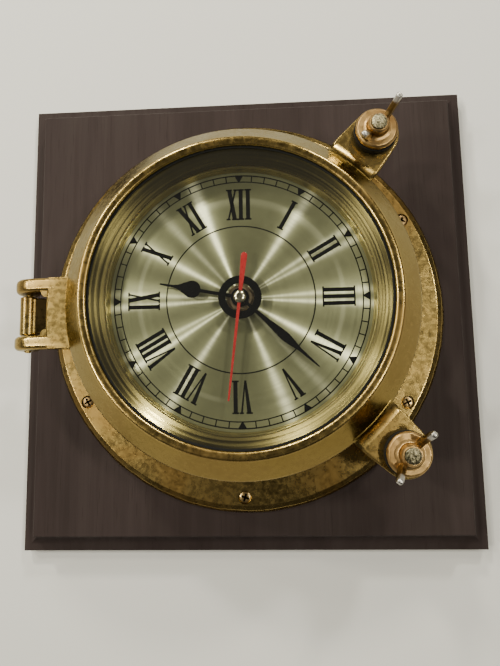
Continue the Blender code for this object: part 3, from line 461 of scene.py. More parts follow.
def sloping_face(finish, colour):
    """A darker colour in patches over the sloping face of the door, with its rounded outer edge left lighter."""
    radius, _, z = finish.polar()
    slope = finish.math("MULTIPLY", finish.band(z, 0.0618, 0.0630), finish.band(z, 0.0752, 0.0742))
    slope = finish.math("MULTIPLY", slope, finish.band(radius, 0.0846, 0.0843))
    slope = finish.math("MULTIPLY", slope, finish.band(finish.noise(34.0, 2.0, 0.45, 0.5), 0.3, 0.7, 0.68, 0.96))
    return finish.mix(slope, colour, (0.205, 0.140, 0.036))


def slot_painted_shade(finish, colour):
    """Painted shade: near-black colour low in a flange screw's slots and round the lower edge of its head, where shade
    falls.
    """
    _, _, z = finish.axes(finish.place)
    return finish.mix(finish.band(z, 0.02440, 0.02425), colour, (0.010, 0.007, 0.004))


def wing_tone_and_tip_highlight(axis):
    """Darker wings on a lighter disc, with a painted highlight: the tops of the wings painted a pale metal colour."""
    def over(finish, colour):
        x, y, z = finish.axes(finish.place)
        across = finish.math("SUBTRACT", x, axis[0] * MM)
        along = finish.math("SUBTRACT", y, axis[1] * MM)
        radius = finish.length(across, along)
        wing = finish.math("MULTIPLY", finish.band(radius, 0.0048, 0.0054), finish.band(z, 0.0676, 0.0684))
        colour = finish.mix(finish.math("MULTIPLY", wing, 0.85), colour, (0.13, 0.080, 0.028))
        # Painted highlight: the tops of the wings, above about 77 mm, painted pale metal with an uneven edge.
        uneven = finish.math("ADD", z, finish.math("MULTIPLY", finish.noise(500.0, 3.0), 0.002))
        return finish.mix(finish.band(uneven, 0.0768, 0.0780), colour, (0.50, 0.48, 0.45))
    return over


def brushed_ring(name, bright, brown, roughness, grain=0.8):
    """Brass brushed round the clock's axis."""
    finish = Finish(name, metallic=1.0, Anisotropic=grain, Anisotropic_Rotation=0.25)
    radius, _, z = finish.polar()
    lines = finish.turned_lines(radius, z, 5200.0)
    broad = finish.turned_lines(radius, z, 900.0, 2.0)
    patches = finish.noise(60.0, 4.0, 0.6)
    colour = finish.mix(finish.band(finish.weighted(lines, 0.25, patches), 0.66, 0.30), bright, brown)
    rough = finish.band(broad, 0.3, 0.7, roughness - 0.06, roughness + 0.08)
    finish.brush_round()
    finish.bump(lines, 0.000006, 0.5)
    finish.bump(broad, 0.000005, 0.4)
    return finish.done(colour, rough)


def dial_face():
    """A dial brushed round its centre, with painted highlights in its colour: bright rays in opposite pairs, and soft
    arcs of painted light about 48 mm from the centre.
    """
    finish = Finish("dial_brass_brushed", metallic=0.6, Anisotropic=1.0, Anisotropic_Rotation=0.25)
    radius, angle, z = finish.polar()
    rays = 0.0
    # Painted highlights: for each direction, a bright ray along it and another opposite, with its sharpness and its
    # strength on each side.
    for direction, power, near, far in (
        (34.5, 1000.0, 0.70, 0.80),
        (57.5, 2200.0, 0.60, 0.80),
        (63.5, 2200.0, 0.55, 0.45),
        (87.0, 2200.0, 0.50, 0.80),
        (93.5, 2200.0, 0.80, 0.35),
        (119.5, 1000.0, 0.80, 0.65),
        (138.0, 1000.0, 0.25, 0.30),
        (158.0, 900.0, 0.75, 1.15),
    ):
        turn = finish.math("MULTIPLY", finish.math("SUBTRACT", angle, direction), math.pi / 180.0)
        across = finish.math("COSINE", turn)
        sharp = finish.math("POWER", finish.math("ABSOLUTE", across), power)
        side = finish.band(across, -0.2, 0.2, far, near)
        rays = finish.math("ADD", rays, finish.math("MULTIPLY", sharp, side))
    lines = finish.turned_lines(radius, z, 5200.0)
    broad = finish.turned_lines(radius, z, 1100.0, 2.0)
    cloud = finish.noise(45.0, 4.0, 0.6)
    level = finish.math("MULTIPLY", rays, finish.band(broad, 0.25, 0.75, 0.78, 1.12))
    # Painted light: soft bright arcs about 48 mm from the centre, each over a span of angle.
    for middle, half, strength, inside in (
        (16.0, 46.0, 0.16, 0.0440),
        (97.0, 27.0, 0.12, 0.0464),
        (-157.0, 12.0, 0.12, 0.0464),
        (-90.0, 25.0, 0.12, 0.0464),
    ):
        away = finish.math("ABSOLUTE", finish.math("SUBTRACT", angle, middle))
        painted_light_arc = finish.math("MULTIPLY", finish.band(radius, inside, 0.0478), finish.band(radius, 0.0499, 0.0484))
        painted_light_arc = finish.math("MULTIPLY", painted_light_arc, finish.band(away, half + 6.0, half - 6.0, 0.0, strength))
        level = finish.math("ADD", level, painted_light_arc)
    base = finish.mix(finish.band(cloud, 0.35, 0.65), (0.185, 0.180, 0.098), (0.232, 0.227, 0.126))
    base = finish.mix(finish.band(lines, 0.3, 0.7, 0.0, 0.3), base, (0.19, 0.18, 0.10))
    # The painted highlights and painted light turn the colour toward pale gold.
    colour = finish.mix(finish.math("MINIMUM", level, 1.0), base, (0.90, 0.86, 0.61))
    rough = finish.band(broad, 0.3, 0.7, 0.29, 0.37)
    finish.brush_round()
    finish.bump(lines, 0.00002, 0.5)
    return finish.done(colour, rough)


def dark_wood():
    """Stained hardwood with a faint grain along Y, under a satin varnish."""
    finish = Finish("dark_wood_satin", Specular_IOR_Level=0.03)
    grain = finish.noise(1.0, 7.0, 0.62, 0.9, finish.stretched(260.0, 9.0, 200.0))
    figure = finish.noise(1.0, 3.0, 0.5, 1.4, finish.stretched(34.0, 3.5, 30.0))
    pores = finish.noise(1.0, 2.0, 0.5, 0.0, finish.stretched(1500.0, 45.0, 1200.0))
    blotch = finish.noise(16.0, 3.0, 0.5)
    colour = finish.mix(finish.band(figure, 0.32, 0.68), (0.0375, 0.0276, 0.0268), (0.0465, 0.0350, 0.0338))
    colour = finish.mix(finish.band(grain, 0.40, 0.64, 0.0, 0.22), colour, (0.0240, 0.0166, 0.0160))
    colour = finish.mix(finish.band(pores, 0.62, 0.74, 0.0, 0.35), colour, (0.0170, 0.0116, 0.0110))
    colour = finish.mix(finish.band(blotch, 0.45, 0.75, 0.0, 0.30), colour, (0.0500, 0.0385, 0.0370))
    rough = finish.band(grain, 0.3, 0.7, 0.42, 0.56)
    finish.bump(grain, 0.00003, 0.5)
    finish.bump(finish.math("MULTIPLY", finish.band(pores, 0.60, 0.74), -1.0), 0.00004, 0.5)
    return finish.done(colour, rough)


def speckled(name, colour, dark, metallic, roughness, scale, bump=0.00002, **fixed):
    """A plain made surface: slight unevenness of colour, gloss and height."""
    finish = Finish(name, metallic=metallic, **fixed)
    fine = finish.noise(scale, 4.0, 0.6)
    broad = finish.noise(scale * 0.12, 3.0, 0.5)
    shade = finish.mix(finish.band(finish.weighted(fine, 0.5, broad), 0.38, 0.62), dark, colour)
    rough = finish.band(fine, 0.3, 0.7, roughness - 0.05, roughness + 0.06)
    finish.bump(fine, bump, 0.6)
    return finish.done(shade, rough)


def clear_glass():
    """Clear glass: it shows what is under it, with a gloss that grows at grazing angles."""
    finish = Finish("clear_glass_pane", roughness=0.03, colour=(1.0, 1.0, 1.0), Specular_IOR_Level=0.5)
    clear = finish.node("ShaderNodeBsdfTransparent")
    clear.inputs["Color"].default_value = (0.97, 0.985, 0.975, 1.0)
    fresnel = finish.node("ShaderNodeFresnel")
    fresnel.inputs["IOR"].default_value = 1.20
    smears = finish.band(finish.noise(55.0, 5.0, 0.5), 0.45, 0.8, 0.0, 0.0015, shape="LINEAR")
    gloss = finish.math("ADD", fresnel.outputs[0], smears, clamp=True)
    # Light leaves through the pane's far face without a second gloss, which would hide the dial.
    far_face = finish.node("ShaderNodeNewGeometry").outputs["Backfacing"]
    gloss = finish.math("MULTIPLY", gloss, finish.math("SUBTRACT", 1.0, far_face))
    blend = finish.node("ShaderNodeMixShader")
    for socket, value in zip(blend.inputs, (gloss, clear.outputs[0], finish.shader.outputs[0])):
        finish.feed(socket, value)
    finish.feed(finish.tree.nodes["Material Output"].inputs["Surface"], blend.outputs[0])
    return finish.material


CASE_BRASS = old_brass("case_brass_cast", (0.39, 0.275, 0.092), (0.29, 0.190, 0.062), 0.21, wear=0.45,
                       over=sloping_face)
# Base brass, with painted shade in the pocket between the hinge barrel and the case.
FLANGE_BRASS = old_brass("base_brass_cast", (0.39, 0.275, 0.094), (0.275, 0.173, 0.054), 0.22, over=hinge_pocket_painted_shade)
# Dog brass: darker wings, with a painted highlight along the tops of the wings.
DOG_BRASS = {
    name: old_brass(f"dog_brass_{name}", (0.46, 0.30, 0.125), (0.24, 0.135, 0.050), 0.34, wear=0.7, lump=0.00006,
                    over=wing_tone_and_tip_highlight(axis))
    for name, axis in DOG_AXES.items()
}
SCREW_BRASS = old_brass("screw_brass", (0.50, 0.37, 0.23), (0.26, 0.18, 0.11), 0.30)
# Flange screw brass, with painted shade low in the slots and under the head's edge.
FLANGE_SCREW_BRASS = old_brass("flange_screw_brass", (0.44, 0.31, 0.14), (0.26, 0.17, 0.08), 0.30, over=slot_painted_shade)
RING_BRASS = brushed_ring("ring_brass_brushed", (0.55, 0.45, 0.190), (0.42, 0.34, 0.140), 0.30)
CONE_BRASS = brushed_ring("cone_brass_brushed", (0.235, 0.186, 0.070), (0.160, 0.125, 0.046), 0.20, grain=0.4)
DIAL_BRASS = dial_face()
WOOD = dark_wood()
GLASS = clear_glass()
STEEL = speckled("steel_dull", (0.60, 0.60, 0.60), (0.36, 0.36, 0.35), 1.0, 0.36, 900.0)
ROD_STEEL = speckled("rod_steel_worn", (0.34, 0.30, 0.19), (0.05, 0.045, 0.025), 1.0, 0.40, 900.0, 0.00025)
CAP_STEEL = speckled("cap_polished", (0.72, 0.64, 0.44), (0.52, 0.45, 0.30), 1.0, 0.18, 1500.0)
RUBBER = speckled("black_rubber_matt", (0.005, 0.005, 0.0045), (0.003, 0.003, 0.003), 0.0, 0.72, 1600.0,
                  Specular_IOR_Level=0.25)
BLACK = speckled("black_enamel", (0.0016, 0.0016, 0.0018), (0.0008, 0.0008, 0.0010), 0.0, 0.26, 1800.0,
                 Specular_IOR_Level=0.12)
INK = speckled("black_ink", (0.0012, 0.0012, 0.0010), (0.0022, 0.0022, 0.0018), 0.0, 0.6, 2400.0, 0.000004,
               Specular_IOR_Level=0.03)
RED = speckled("red_enamel", (0.36, 0.012, 0.012), (0.26, 0.008, 0.009), 0.0, 0.30, 1800.0, Coat_Weight=0.15)
BLACK_PLASTIC = speckled("black_plastic_fine", (0.032, 0.032, 0.033), (0.018, 0.018, 0.019), 0.0, 0.48, 2600.0, 0.00004)
WHITE_PLASTIC = speckled("white_plastic_plain", (0.80, 0.80, 0.75), (0.70, 0.69, 0.63), 0.0, 0.42, 1200.0)
COPPER = speckled("copper_winding", (0.72, 0.33, 0.17), (0.45, 0.18, 0.09), 1.0, 0.34, 3000.0, 0.0001)
GREEN = speckled("circuit_board_green", (0.05, 0.24, 0.11), (0.03, 0.15, 0.07), 0.0, 0.42, 700.0)
SLEEVE = speckled("battery_sleeve_matt", (0.060, 0.060, 0.068), (0.035, 0.035, 0.040), 0.0, 0.36, 900.0)


# ------------------------------------------------------------------- board


def make_plaque():
    low, high = (in_mm(corner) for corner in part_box("plaque"))
    width, height, top = high[0] - low[0], high[1] - low[1], high[2]
    ledge, across, ledge_top = 2.0, 9.3, 7.0
    steps = [(0.6, 0.0), (0.15, 0.15), (0.0, 0.6), (0.0, ledge_top - 0.6), (0.15, ledge_top - 0.15)]
    steps += [(0.6, ledge_top), (ledge - 0.1, ledge_top), (ledge, ledge_top + 0.1)]
    cove = []
    rise = top - 0.9 - ledge_top
    for index in range(1, 15):
        angle = math.radians(90.0 * index / 14)
        cove.append((ledge + (across - 0.9) * math.sin(angle), ledge_top + rise * (1 - math.cos(angle))))
    steps += cove
    edge = ledge + across - 0.9
    steps += [(edge + 0.25, top - 0.45), (edge + 0.6, top - 0.12), (edge + 1.1, top)]
    work = bmesh.new()
    rings = []
    for inset, z in steps:
        x, y = width / 2 - inset, height / 2 - inset
        corners = ((x, -y), (x, y), (-x, y), (-x, -y))
        rings.append([work.verts.new((cx, cy, z)) for cx, cy in corners])
    skin(work, rings)
    work.faces.new(rings[0][::-1])
    work.faces.new(rings[-1])
    cutters = bmesh.new()
    lathe(cutters, [(0, 23), (49.2, 23), (48.0, 19.0), (48.0, 0.6), (48.6, -2), (0, -2)], 160, closed=False)
    mesh = carved(as_mesh(work, "board"), cutters)
    for x, y, depth in ((9.0, 21.5, 3.2), (7.0, 13.0, 8.5)):
        pocket = bmesh.new()
        corners = soften([(x, -y), (x, y), (-x, y), (-x, -y)], 4.0, 8)
        plate(pocket, [corners], -2.0, depth, place=Matrix.Translation((0.0, HANGER_Y, 0.0)))
        mesh = carved(mesh, pocket)
    holes = bmesh.new()
    for x, y in screw_spots():
        spot = Matrix.Translation((x, y, 0.0))
        lathe(holes, [(0, 22), (1.8, 22), (1.8, 6.5), (0, 6.5)], 24, closed=False, place=spot)
    for side in (-1, 1):
        spot = Matrix.Translation((0.0, HANGER_Y + side * 17.0, 0.0))
        lathe(holes, [(0, 10), (1.5, 10), (1.5, -2), (0, -2)], 24, closed=False, place=spot)
    mesh = carved(mesh, holes)
    piece("plaque_moulded", mesh, WOOD, "base", ["plaque"], sharp=25.0)


# -------------------------------------------------------------------- base


def tab_outline(width, root, fold, end_radius, count=28):
    """A tab along +X from the root, tapering to a round end about the dog's axis."""
    half = width / 2
    end = arc((DOG_RADIUS, 0.0), end_radius, -85.0, 85.0, count)
    return [(root, half), (root, -half), (fold, -half), *end, (fold, half)]


def make_base_ring():
    outside = [(70.2, 62.0, 0.3), (74.2, 62.0, 0.4), (74.2, 56.0, 0.2), (82.8, 56.0, 0.5), (83.6, 55.2, 0.4)]
    outside += [(83.6, 52.6, 0.8), (82.4, 51.4, 1.0), (79.0, 49.6, 2.0)]
    fillet = [(*point, 0.0) for point in arc((85.5, 31.8), 6.5, 180.0, 268.0, 14)]
    rim = [(88.0, 25.25, 2.0), (96.0, 25.15, 4.0), (102.0, 25.2, 1.5), (104.6, 24.0, 1.6), (106.0, 21.9, 1.0)]
    rim += [(106.6, 19.8, 0.4)]
    inside = [(73.0, 19.8, 0.6), (73.0, 51.5, 3.0), (66.0, 56.6, 1.0), (66.0, 59.4, 0.2), (70.2, 59.4, 0.2)]
    profile = soften(outside + fillet + rim + inside, 0.3, 4)
    work = bmesh.new()
    lathe(work, profile, 288)

    def near_rim(place):
        return math.hypot(place.x, place.y) > 103.5 and place.z > 21.0

    roughen(work, 0.30, 5.0, near_rim)
    cones = bmesh.new()
    for x, y in screw_spots():
        sink = [(0, 27), (3.45, 27), (3.4, 24.0), (1.9, 22.3), (1.9, 18), (0, 18)]
        lathe(cones, sink, 40, closed=False, place=Matrix.Translation((x, y, 0.0)))
    mesh = carved(as_mesh(work, "ring"), cones)
    work = bmesh.new()
    work.from_mesh(mesh)
    for axis in DOG_AXES.values():
        outline = tab_outline(23.0, 76.5, 91.4, 10.6)
        hole = circle(3.7, 32, (DOG_RADIUS, 0.0))
        plate(work, [outline, hole], 47.0, 56.0, 0.9, facing(clockwise_of(axis)))
    x, y, z = HINGE
    along_y = Matrix.Translation((x, y, z)) @ Matrix.Rotation(math.radians(90.0), 4, "X")
    barrel = [(1.9, 9.7, 0.3), (4.1, 9.7, 0.9), (4.1, -9.7, 0.9), (1.9, -9.7, 0.3)]
    lathe(work, soften(barrel, 0.5, 5), 96, place=along_y)
    web = [(x + 2.9, 46.6), (-76.0, 46.6), (-76.0, 52.4), (x + 2.9, 52.4)]
    plate(work, [web], -8.9, 8.9, 0.7, standing(y))
    piece("base_ring_cast", work, FLANGE_BRASS, "base", ["base_ring"])


def make_flange_screws():
    wide, thin = 2.1, 0.52
    slot = [(-wide, -thin), (wide, -thin), (wide, thin), (-wide, thin)]
    for index, (x, y) in enumerate(screw_spots()):
        turn = Matrix.Translation((x, y, 0.0)) @ Matrix.Rotation(math.radians(20.0 + 47.0 * index), 4, "Z")
        work = bmesh.new()
        head = flowing([(0.0, 25.0), (1.6, 24.95), (2.6, 24.75), (3.25, 24.35)], 3)
        shank = [(3.3, 24.15), (1.5, 22.4), (1.5, 9.0), (0.0, 7.0)]
        lathe(work, head + shank, 48, closed=False, place=turn)
        mesh = as_mesh(work, "screw")
        for angle in (0.0, 90.0):
            cross = bmesh.new()
            spin = Matrix.Rotation(math.radians(angle), 4, "Z")
            plate(cross, [slot], 23.5, 26.0, place=turn @ spin)
            mesh = carved(mesh, cross)
        node = f"flange_screw_{index + 1}"
        piece(f"{node}_domed", mesh, FLANGE_SCREW_BRASS, "base", [node], sharp=30.0)


def make_hinge_pin():
    x, y, z = HINGE
    reach = 17.3
    profile = [(0.0, reach + 1.3), (1.2, reach + 1.25), (2.1, reach + 1.0), (2.6, reach + 0.5), (2.6, reach + 0.3)]
    profile += [(1.6, reach + 0.3), (1.6, -reach - 0.4), (1.2, -reach - 0.8), (0.6, -reach - 0.9), (0.0, -reach - 0.9)]
    work = bmesh.new()
    along_y = Matrix.Translation((x, y, z)) @ Matrix.Rotation(math.radians(-90.0), 4, "X")
    lathe(work, profile, 64, closed=False, place=along_y)
    roughen(work, 0.08, 1.5)
    piece("hinge_pin_peened", work, CASE_BRASS, "base", ["hinge_pin"])


# -------------------------------------------------------------------- door


def arm_outline():
    """A fork arm's side view, as (x, z): flat on top, curving over to the eye."""
    x, _, z = HINGE
    reach, shoulder_x, shoulder_z = x - 5.6, -101.5, 60.9
    points = [(-82.0, 56.3), (-82.0, 61.4), (-92.0, 61.4)]
    for index in range(17):
        angle = math.radians(90.0 * index / 16)
        points.append((shoulder_x + (reach - shoulder_x) * math.sin(angle), z + (shoulder_z - z) * math.cos(angle)))
    points += arc((x, z), 5.6, 190.0, 320.0, 20)
    points.append((-96.5, 56.3))
    return points


def make_cove(work, turn):
    """A hollow from an ear's straight fold up to the round edge of the door's face."""
    hollow = flowing([(0.0, 60.98), (0.30, 60.95), (0.56, 61.3), (0.76, 62.0), (0.90, 62.9), (1.0, 64.0)], 3)
    half = 12.75
    sections = []
    for index in range(33):
        across = half * (index / 16 - 1.0)
        inner = math.sqrt(82.5**2 - across**2)
        drop = 0.35 * max(0.0, (abs(across) - half + 0.6) / 0.6) ** 2
        points = [(inner - 3.0, 57.0), (92.4, 57.0), (92.4, 60.4)]
        points += [(91.4 + (inner - 91.4) * share, z - drop) for share, z in hollow]
        points.append((inner - 3.0, 64.2))
        sections.append([work.verts.new(turn @ Vector((x, across, z))) for x, z in points])
    skin(work, sections)
    work.faces.new(sections[0][::-1])
    work.faces.new(sections[-1])


def make_door_ring():
    lip = [(68.9, 74.0, 0.1)]
    face = flowing([(68.9, 74.35), (69.2, 74.9), (70.1, 75.35), (71.5, 75.5), (72.6, 75.3), (73.4, 74.55)], 4)
    face += flowing([(82.9, 63.0), (83.6, 61.9), (84.0, 60.4), (84.0, 57.5)], 4)
    back = [(84.0, 56.9, 0.4), (83.4, 56.3, 0.3), (75.2, 56.3, 0.3), (75.2, 63.2, 0.1), (72.6, 63.2, 0.1)]
    back += [(72.6, 67.7, 0.1), (73.8, 67.7, 0.1), (73.8, 69.2, 0.1), (72.6, 69.2, 0.1), (72.6, 74.0, 0.1)]
    work = bmesh.new()
    lathe(work, soften(lip + [(*point, 0.0) for point in face] + back, 0.2, 4), 320)

    x, y, _ = HINGE
    block = [(-93.6, 56.3, 0.4), (-93.6, 60.0, 0.3), (-92.3, 61.3, 0.3), (-81.0, 61.4, 0.2), (-81.0, 56.3, 0.2)]
    plate(work, [soften(block, 0.3, 3)], -17.3, 17.3, 0.5, standing(y))
    for side in (-1, 1):
        plate(work, [soften(arm_outline(), 1.4, 4)], -3.35, 3.35, 1.9, standing(y + side * 13.95))
        inner = y + side * 10.7
        corner = [(-93.0, inner), (-93.0, inner - side * 3.2)]
        corner += [(-93.3 - 3.0 * math.sin(t), inner - side * 3.0 + side * 3.0 * (1 - math.cos(t)))
                   for t in (math.radians(d) for d in range(0, 91, 15))]
        corner += [(-96.8, inner), (-96.8, inner + side * 0.8), (-93.0, inner + side * 0.8)]
        plate(work, [corner], 56.3, 60.4)
    for axis in DOG_AXES.values():
        turn = facing(clockwise_of(axis))
        outline = soften([(*corner, 0.0) for corner in tab_outline(25.4, 80.0, 91.4, 11.6)], 1.0)
        hole = circle(3.7, 32, (DOG_RADIUS, 0.0))
        plate(work, [outline, hole], 56.3, 61.0, 0.6, turn)
        make_cove(work, turn)
    piece("door_ring_cast", work, CASE_BRASS, "door", ["door_ring"], sharp=40.0)


def make_glazing():
    work = bmesh.new()
    pane = [(0, 73.0), (71.8, 73.0), (72.1, 72.9), (72.3, 72.5), (72.3, 70.5), (72.1, 70.2), (71.8, 70.1), (0, 70.1)]
    lathe(work, pane, 256, closed=False)
    piece("glass_pane", work, GLASS, "door", ["glass"], sharp=20.0)
    work = bmesh.new()
    lathe(work, soften([(67.9, 73.7, 0.15), (72.3, 73.7, 0.1), (72.3, 73.3, 0.1), (67.9, 73.3, 0.15)], 0.1, 3), 256)
    piece("glass_gasket_moulded", work, RUBBER, "door", ["glass_gasket"])
    work = bmesh.new()
    cone = [(69.7, 69.8, 0.2), (72.3, 69.8, 0.1), (72.3, 69.2, 0.1), (70.3, 69.2, 0.2)]
    cone += [(64.2, 64.9, 0.1), (63.4, 65.4, 0.2)]
    lathe(work, soften(cone, 0.2, 4), 256)
    piece("reflector_ring_brushed", work, CONE_BRASS, "door", ["reflector_ring"])
    work = bmesh.new()
    gap = math.asin(6.0 / 74.0)
    count = 200
    sections = []
    for index in range(count + 1):
        angle = gap + (math.tau - 2 * gap) * index / count
        turn = Matrix.Rotation(angle, 4, "Z")
        corners = soften([(70.4, 68.9), (73.5, 68.9), (73.5, 68.0), (70.4, 68.0)], 0.15, 3)
        sections.append([work.verts.new(turn @ Vector((r, 0.0, z))) for r, z in corners])
    skin(work, sections)
    work.faces.new(sections[0])
    work.faces.new(sections[-1][::-1])
    piece("snap_ring_wire", work, STEEL, "door", ["snap_ring"])


# -------------------------------------------------------------------- dogs


def make_dogs():
    for name, (x, y, _) in DOG_AXES.items():
        spot = Matrix.Translation((x, y, 64.5))
        spin = spot @ facing(WING_ANGLES[name])
        work = bmesh.new()
        disc = [(3.3, 7.7, 0.2), (4.1, 7.7, 0.3), (4.8, 6.9, 0.5), (5.0, 3.2, 0.9), (6.6, 2.75, 1.0), (8.9, 2.8, 0.8)]
        disc += [(9.9, 1.9, 0.8), (9.9, 0.6, 0.4), (9.3, 0.0, 0.3), (3.3, 0.0, 0.1)]
        lathe(work, soften(disc, 0.3, 5), 128, place=spin)
        outline = [(3.9, 1.7, 0.2), (7.4, 1.7, 0.6), (9.6, 5.1, 3.0), (12.6, 10.7, 3.0), (13.4, 13.3, 1.5)]
        outline += [(12.6, 14.9, 1.2), (11.0, 14.7, 1.5), (9.0, 11.7, 2.5), (6.4, 7.7, 2.0), (3.9, 5.7, 0.2)]
        wing = soften(outline, 1.0, 5)
        for side in (0.0, 180.0):
            turn = Matrix.Rotation(math.radians(side), 4, "Z")
            plate(work, [wing], -1.4, 1.4, 0.8, spin @ turn @ standing())
        roughen(work, 0.10, 3.0)
        piece(f"wing_head_{name}_cast", work, DOG_BRASS[name], f"{name}_dog_screw", [f"wing_head_{name}"],
              sharp=50.0)

        work = bmesh.new()
        end = [(0.0, 73.45), (0.8, 73.45), (1.5, 73.42), (2.3, 73.35), (3.0, 73.1), (3.5, 72.85)]
        end += [(3.6, 72.6), (3.55, 72.5)]
        shank = [(3.0, 72.5), (3.0, 50.0), (2.2, 49.2), (0.0, 49.2)]
        lathe(work, flowing(end, 3) + shank, 64, closed=False, place=Matrix.Translation((x, y, 0.0)))
        roughen(work, 0.22, 0.9, lambda place: place.z > 72.55)
        piece(f"dog_rod_{name}_worn", work, ROD_STEEL, f"{name}_dog_screw", [f"dog_rod_{name}"])

        work = bmesh.new()
        ring = [(10.3, 64.4, 0.4), (10.3, 61.1, 0.3), (3.3, 61.1, 0.1), (3.3, 64.4, 0.2)]
        lathe(work, soften(ring, 0.2, 4), 128, place=Matrix.Translation((x, y, 0.0)))
        piece(f"dog_washer_{name}_moulded", work, RUBBER, f"{name}_dog_carrier", [f"dog_washer_{name}"])


# ---------------------------------------------------------- dial and marks


def on_dial(clockwise, radius, across):
    """A point at a radius, moved sideways across an angle's radial line."""
    angle = math.radians(clockwise)
    x = radius * math.sin(angle) + across * math.cos(angle)
    y = radius * math.cos(angle) - across * math.sin(angle)
    return x, y


# Each letter's strokes and serifs: sideways in millimetres, and up its height from 0 to 1. Each
# numeral's letters, how wide an upright is in it, and how wide its V or X is.
LETTERS = {
    "I": ([((-0.95, 1.0), (0.95, 1.0), (0.95, 0.0), (-0.95, 0.0))], [(-1.6, 1.6, 1), (-1.6, 1.6, 0)]),
    "V": ([((-2.50, 1.0), (-0.50, 1.0), (0.80, 0.0), (-0.20, 0.0)),
           ((1.65, 1.0), (2.50, 1.0), (0.70, 0.0), (0.10, 0.0))],
          [(-3.00, -0.05, 1), (1.10, 3.00, 1)]),
    "X": ([((-2.35, 1.0), (-0.35, 1.0), (2.35, 0.0), (0.35, 0.0)),
           ((1.35, 1.0), (2.20, 1.0), (-1.35, 0.0), (-2.20, 0.0))],
          [(-2.80, 0.05, 1), (0.80, 2.70, 1), (-2.70, -0.80, 0), (-0.05, 2.80, 0)]),
}
NUMERALS = (
    ("XII", 3.45, 5.0), ("I", 3.3, 0.0), ("II", 3.3, 0.0), ("III", 3.2, 0.0), ("IV", 3.3, 6.0), ("V", 3.3, 6.0),
    ("VI", 3.6, 6.1), ("VII", 3.2, 6.0), ("VIII", 2.9, 6.0), ("IX", 3.4, 5.7), ("X", 3.3, 5.7), ("XI", 3.3, 5.5),
)
NUMERAL_FOOT, NUMERAL_HEIGHT, SERIF = 38.3, 15.3, 0.75


def make_marks():
    low, high = DIAL_TOP + 0.005, DIAL_TOP + 0.03
    track = bmesh.new()
    for radius, width in ((60.3, 0.60), (57.2, 0.52), (35.1, 0.58)):
        inner, outer = radius - width / 2, radius + width / 2
        lathe(track, [(inner, high), (outer, high), (outer, low), (inner, low)], 288)
    for minute in range(60):
        angle = 6.0 * minute
        if minute % 5:
            corners = ((57.2, -0.27), (60.3, -0.27), (60.3, 0.27), (57.2, 0.27))
        else:
            corners = ((56.9, -0.12), (60.3, -2.1), (60.3, 2.1), (56.9, 0.12))
        ink(track, [on_dial(angle, radius, across) for radius, across in corners], low, high)
    piece("minute_track_print", track, INK, "base")

    letters = bmesh.new()
    for hour, (text, stem_width, wide_width) in enumerate(NUMERALS):
        angle = 30.0 * hour
        widths = [stem_width if letter == "I" else wide_width for letter in text]
        start = -sum(widths) / 2
        for letter, width in zip(text, widths):
            middle = start + width / 2
            start += width
            strokes, serifs = LETTERS[letter]
            trim = 1.0 if letter != "I" else min(1.0, width / 3.2)
            for stroke in strokes:
                corners = [on_dial(angle, NUMERAL_FOOT + v * NUMERAL_HEIGHT, middle + u) for u, v in stroke]
                ink(letters, corners, low, high)
            for left, right, top in serifs:
                foot = NUMERAL_FOOT + top * (NUMERAL_HEIGHT - SERIF)
                corners = ((left, 0.0), (right, 0.0), (right, SERIF), (left, SERIF))
                ink(letters, [on_dial(angle, foot + v, middle + u * trim) for u, v in corners], low, high)
    piece("hour_numerals_print", letters, INK, "base")


def make_dial():
    work = bmesh.new()
    lathe(work, soften([(4.3, 60.5, 0.1), (69.8, 60.5, 0.1), (69.8, 59.7, 0.1), (4.3, 59.7, 0.1)], 0.1, 3), 256)
    piece("dial_plate_brushed", work, DIAL_BRASS, "base", ["dial_plate"], sharp=30.0)
    work = bmesh.new()
    ring = [(64.2, 64.5, 0.2), (64.1, 61.9, 0.2), (69.8, 61.9, 0.2), (69.8, 60.8, 0.2)]
    ring += [(61.9, 60.8, 0.15), (63.0, 64.5, 0.25)]
    lathe(work, soften(ring, 0.2, 4), 256)
    piece("dial_ring_brushed", work, RING_BRASS, "base", ["dial_ring"])
    work = bmesh.new()
    lathe(work, soften([(6.6, 61.2, 0.15), (6.6, 60.8, 0.1), (4.2, 60.8, 0.1), (4.2, 61.2, 0.1)], 0.1, 3), 96)
    piece("centre_washer_turned", work, SCREW_BRASS, "base", ["centre_washer"])
    work = bmesh.new()
    flats = soften(circle(6.35, 6), 0.5, 3)
    plate(work, [flats, circle(4.2, 48)], 61.5, 63.1, 0.2)
    piece("centre_nut_milled", work, SCREW_BRASS, "base", ["centre_nut"])


def ringed_hand(half, hub_hole, low, name, angle, body):
    """A flat hand with a ring round its hub, pointing along its angle."""
    ring_outer, ring_inner, hub, arm = 10.0, 6.7, 4.2, 0.8
    right = [(width, y) for width, y in half]
    left = [(-width, y) for width, y in reversed(half)]
    lean = math.degrees(math.asin(0.08))
    outline = right + left + arc((0.0, 0.0), ring_outer, 90.0 + lean, 450.0 - lean, 84)[1:-1]
    outer = math.degrees(math.asin(arm / ring_inner))
    inner = math.degrees(math.asin(arm / hub))
    window = arc((0.0, 0.0), ring_inner, 90.0 + outer, 450.0 - outer, 64)
    window += arc((0.0, 0.0), hub, 450.0 - inner, 90.0 + inner, 48)
    work = bmesh.new()
    turn = Matrix.Rotation(-math.radians(angle), 4, "Z")
    plate(work, [outline, window, circle(hub_hole, 40)], low, low + 0.4, 0.10, turn)
    piece(f"{name}_enamelled", work, BLACK, body, [name], sharp=30.0)


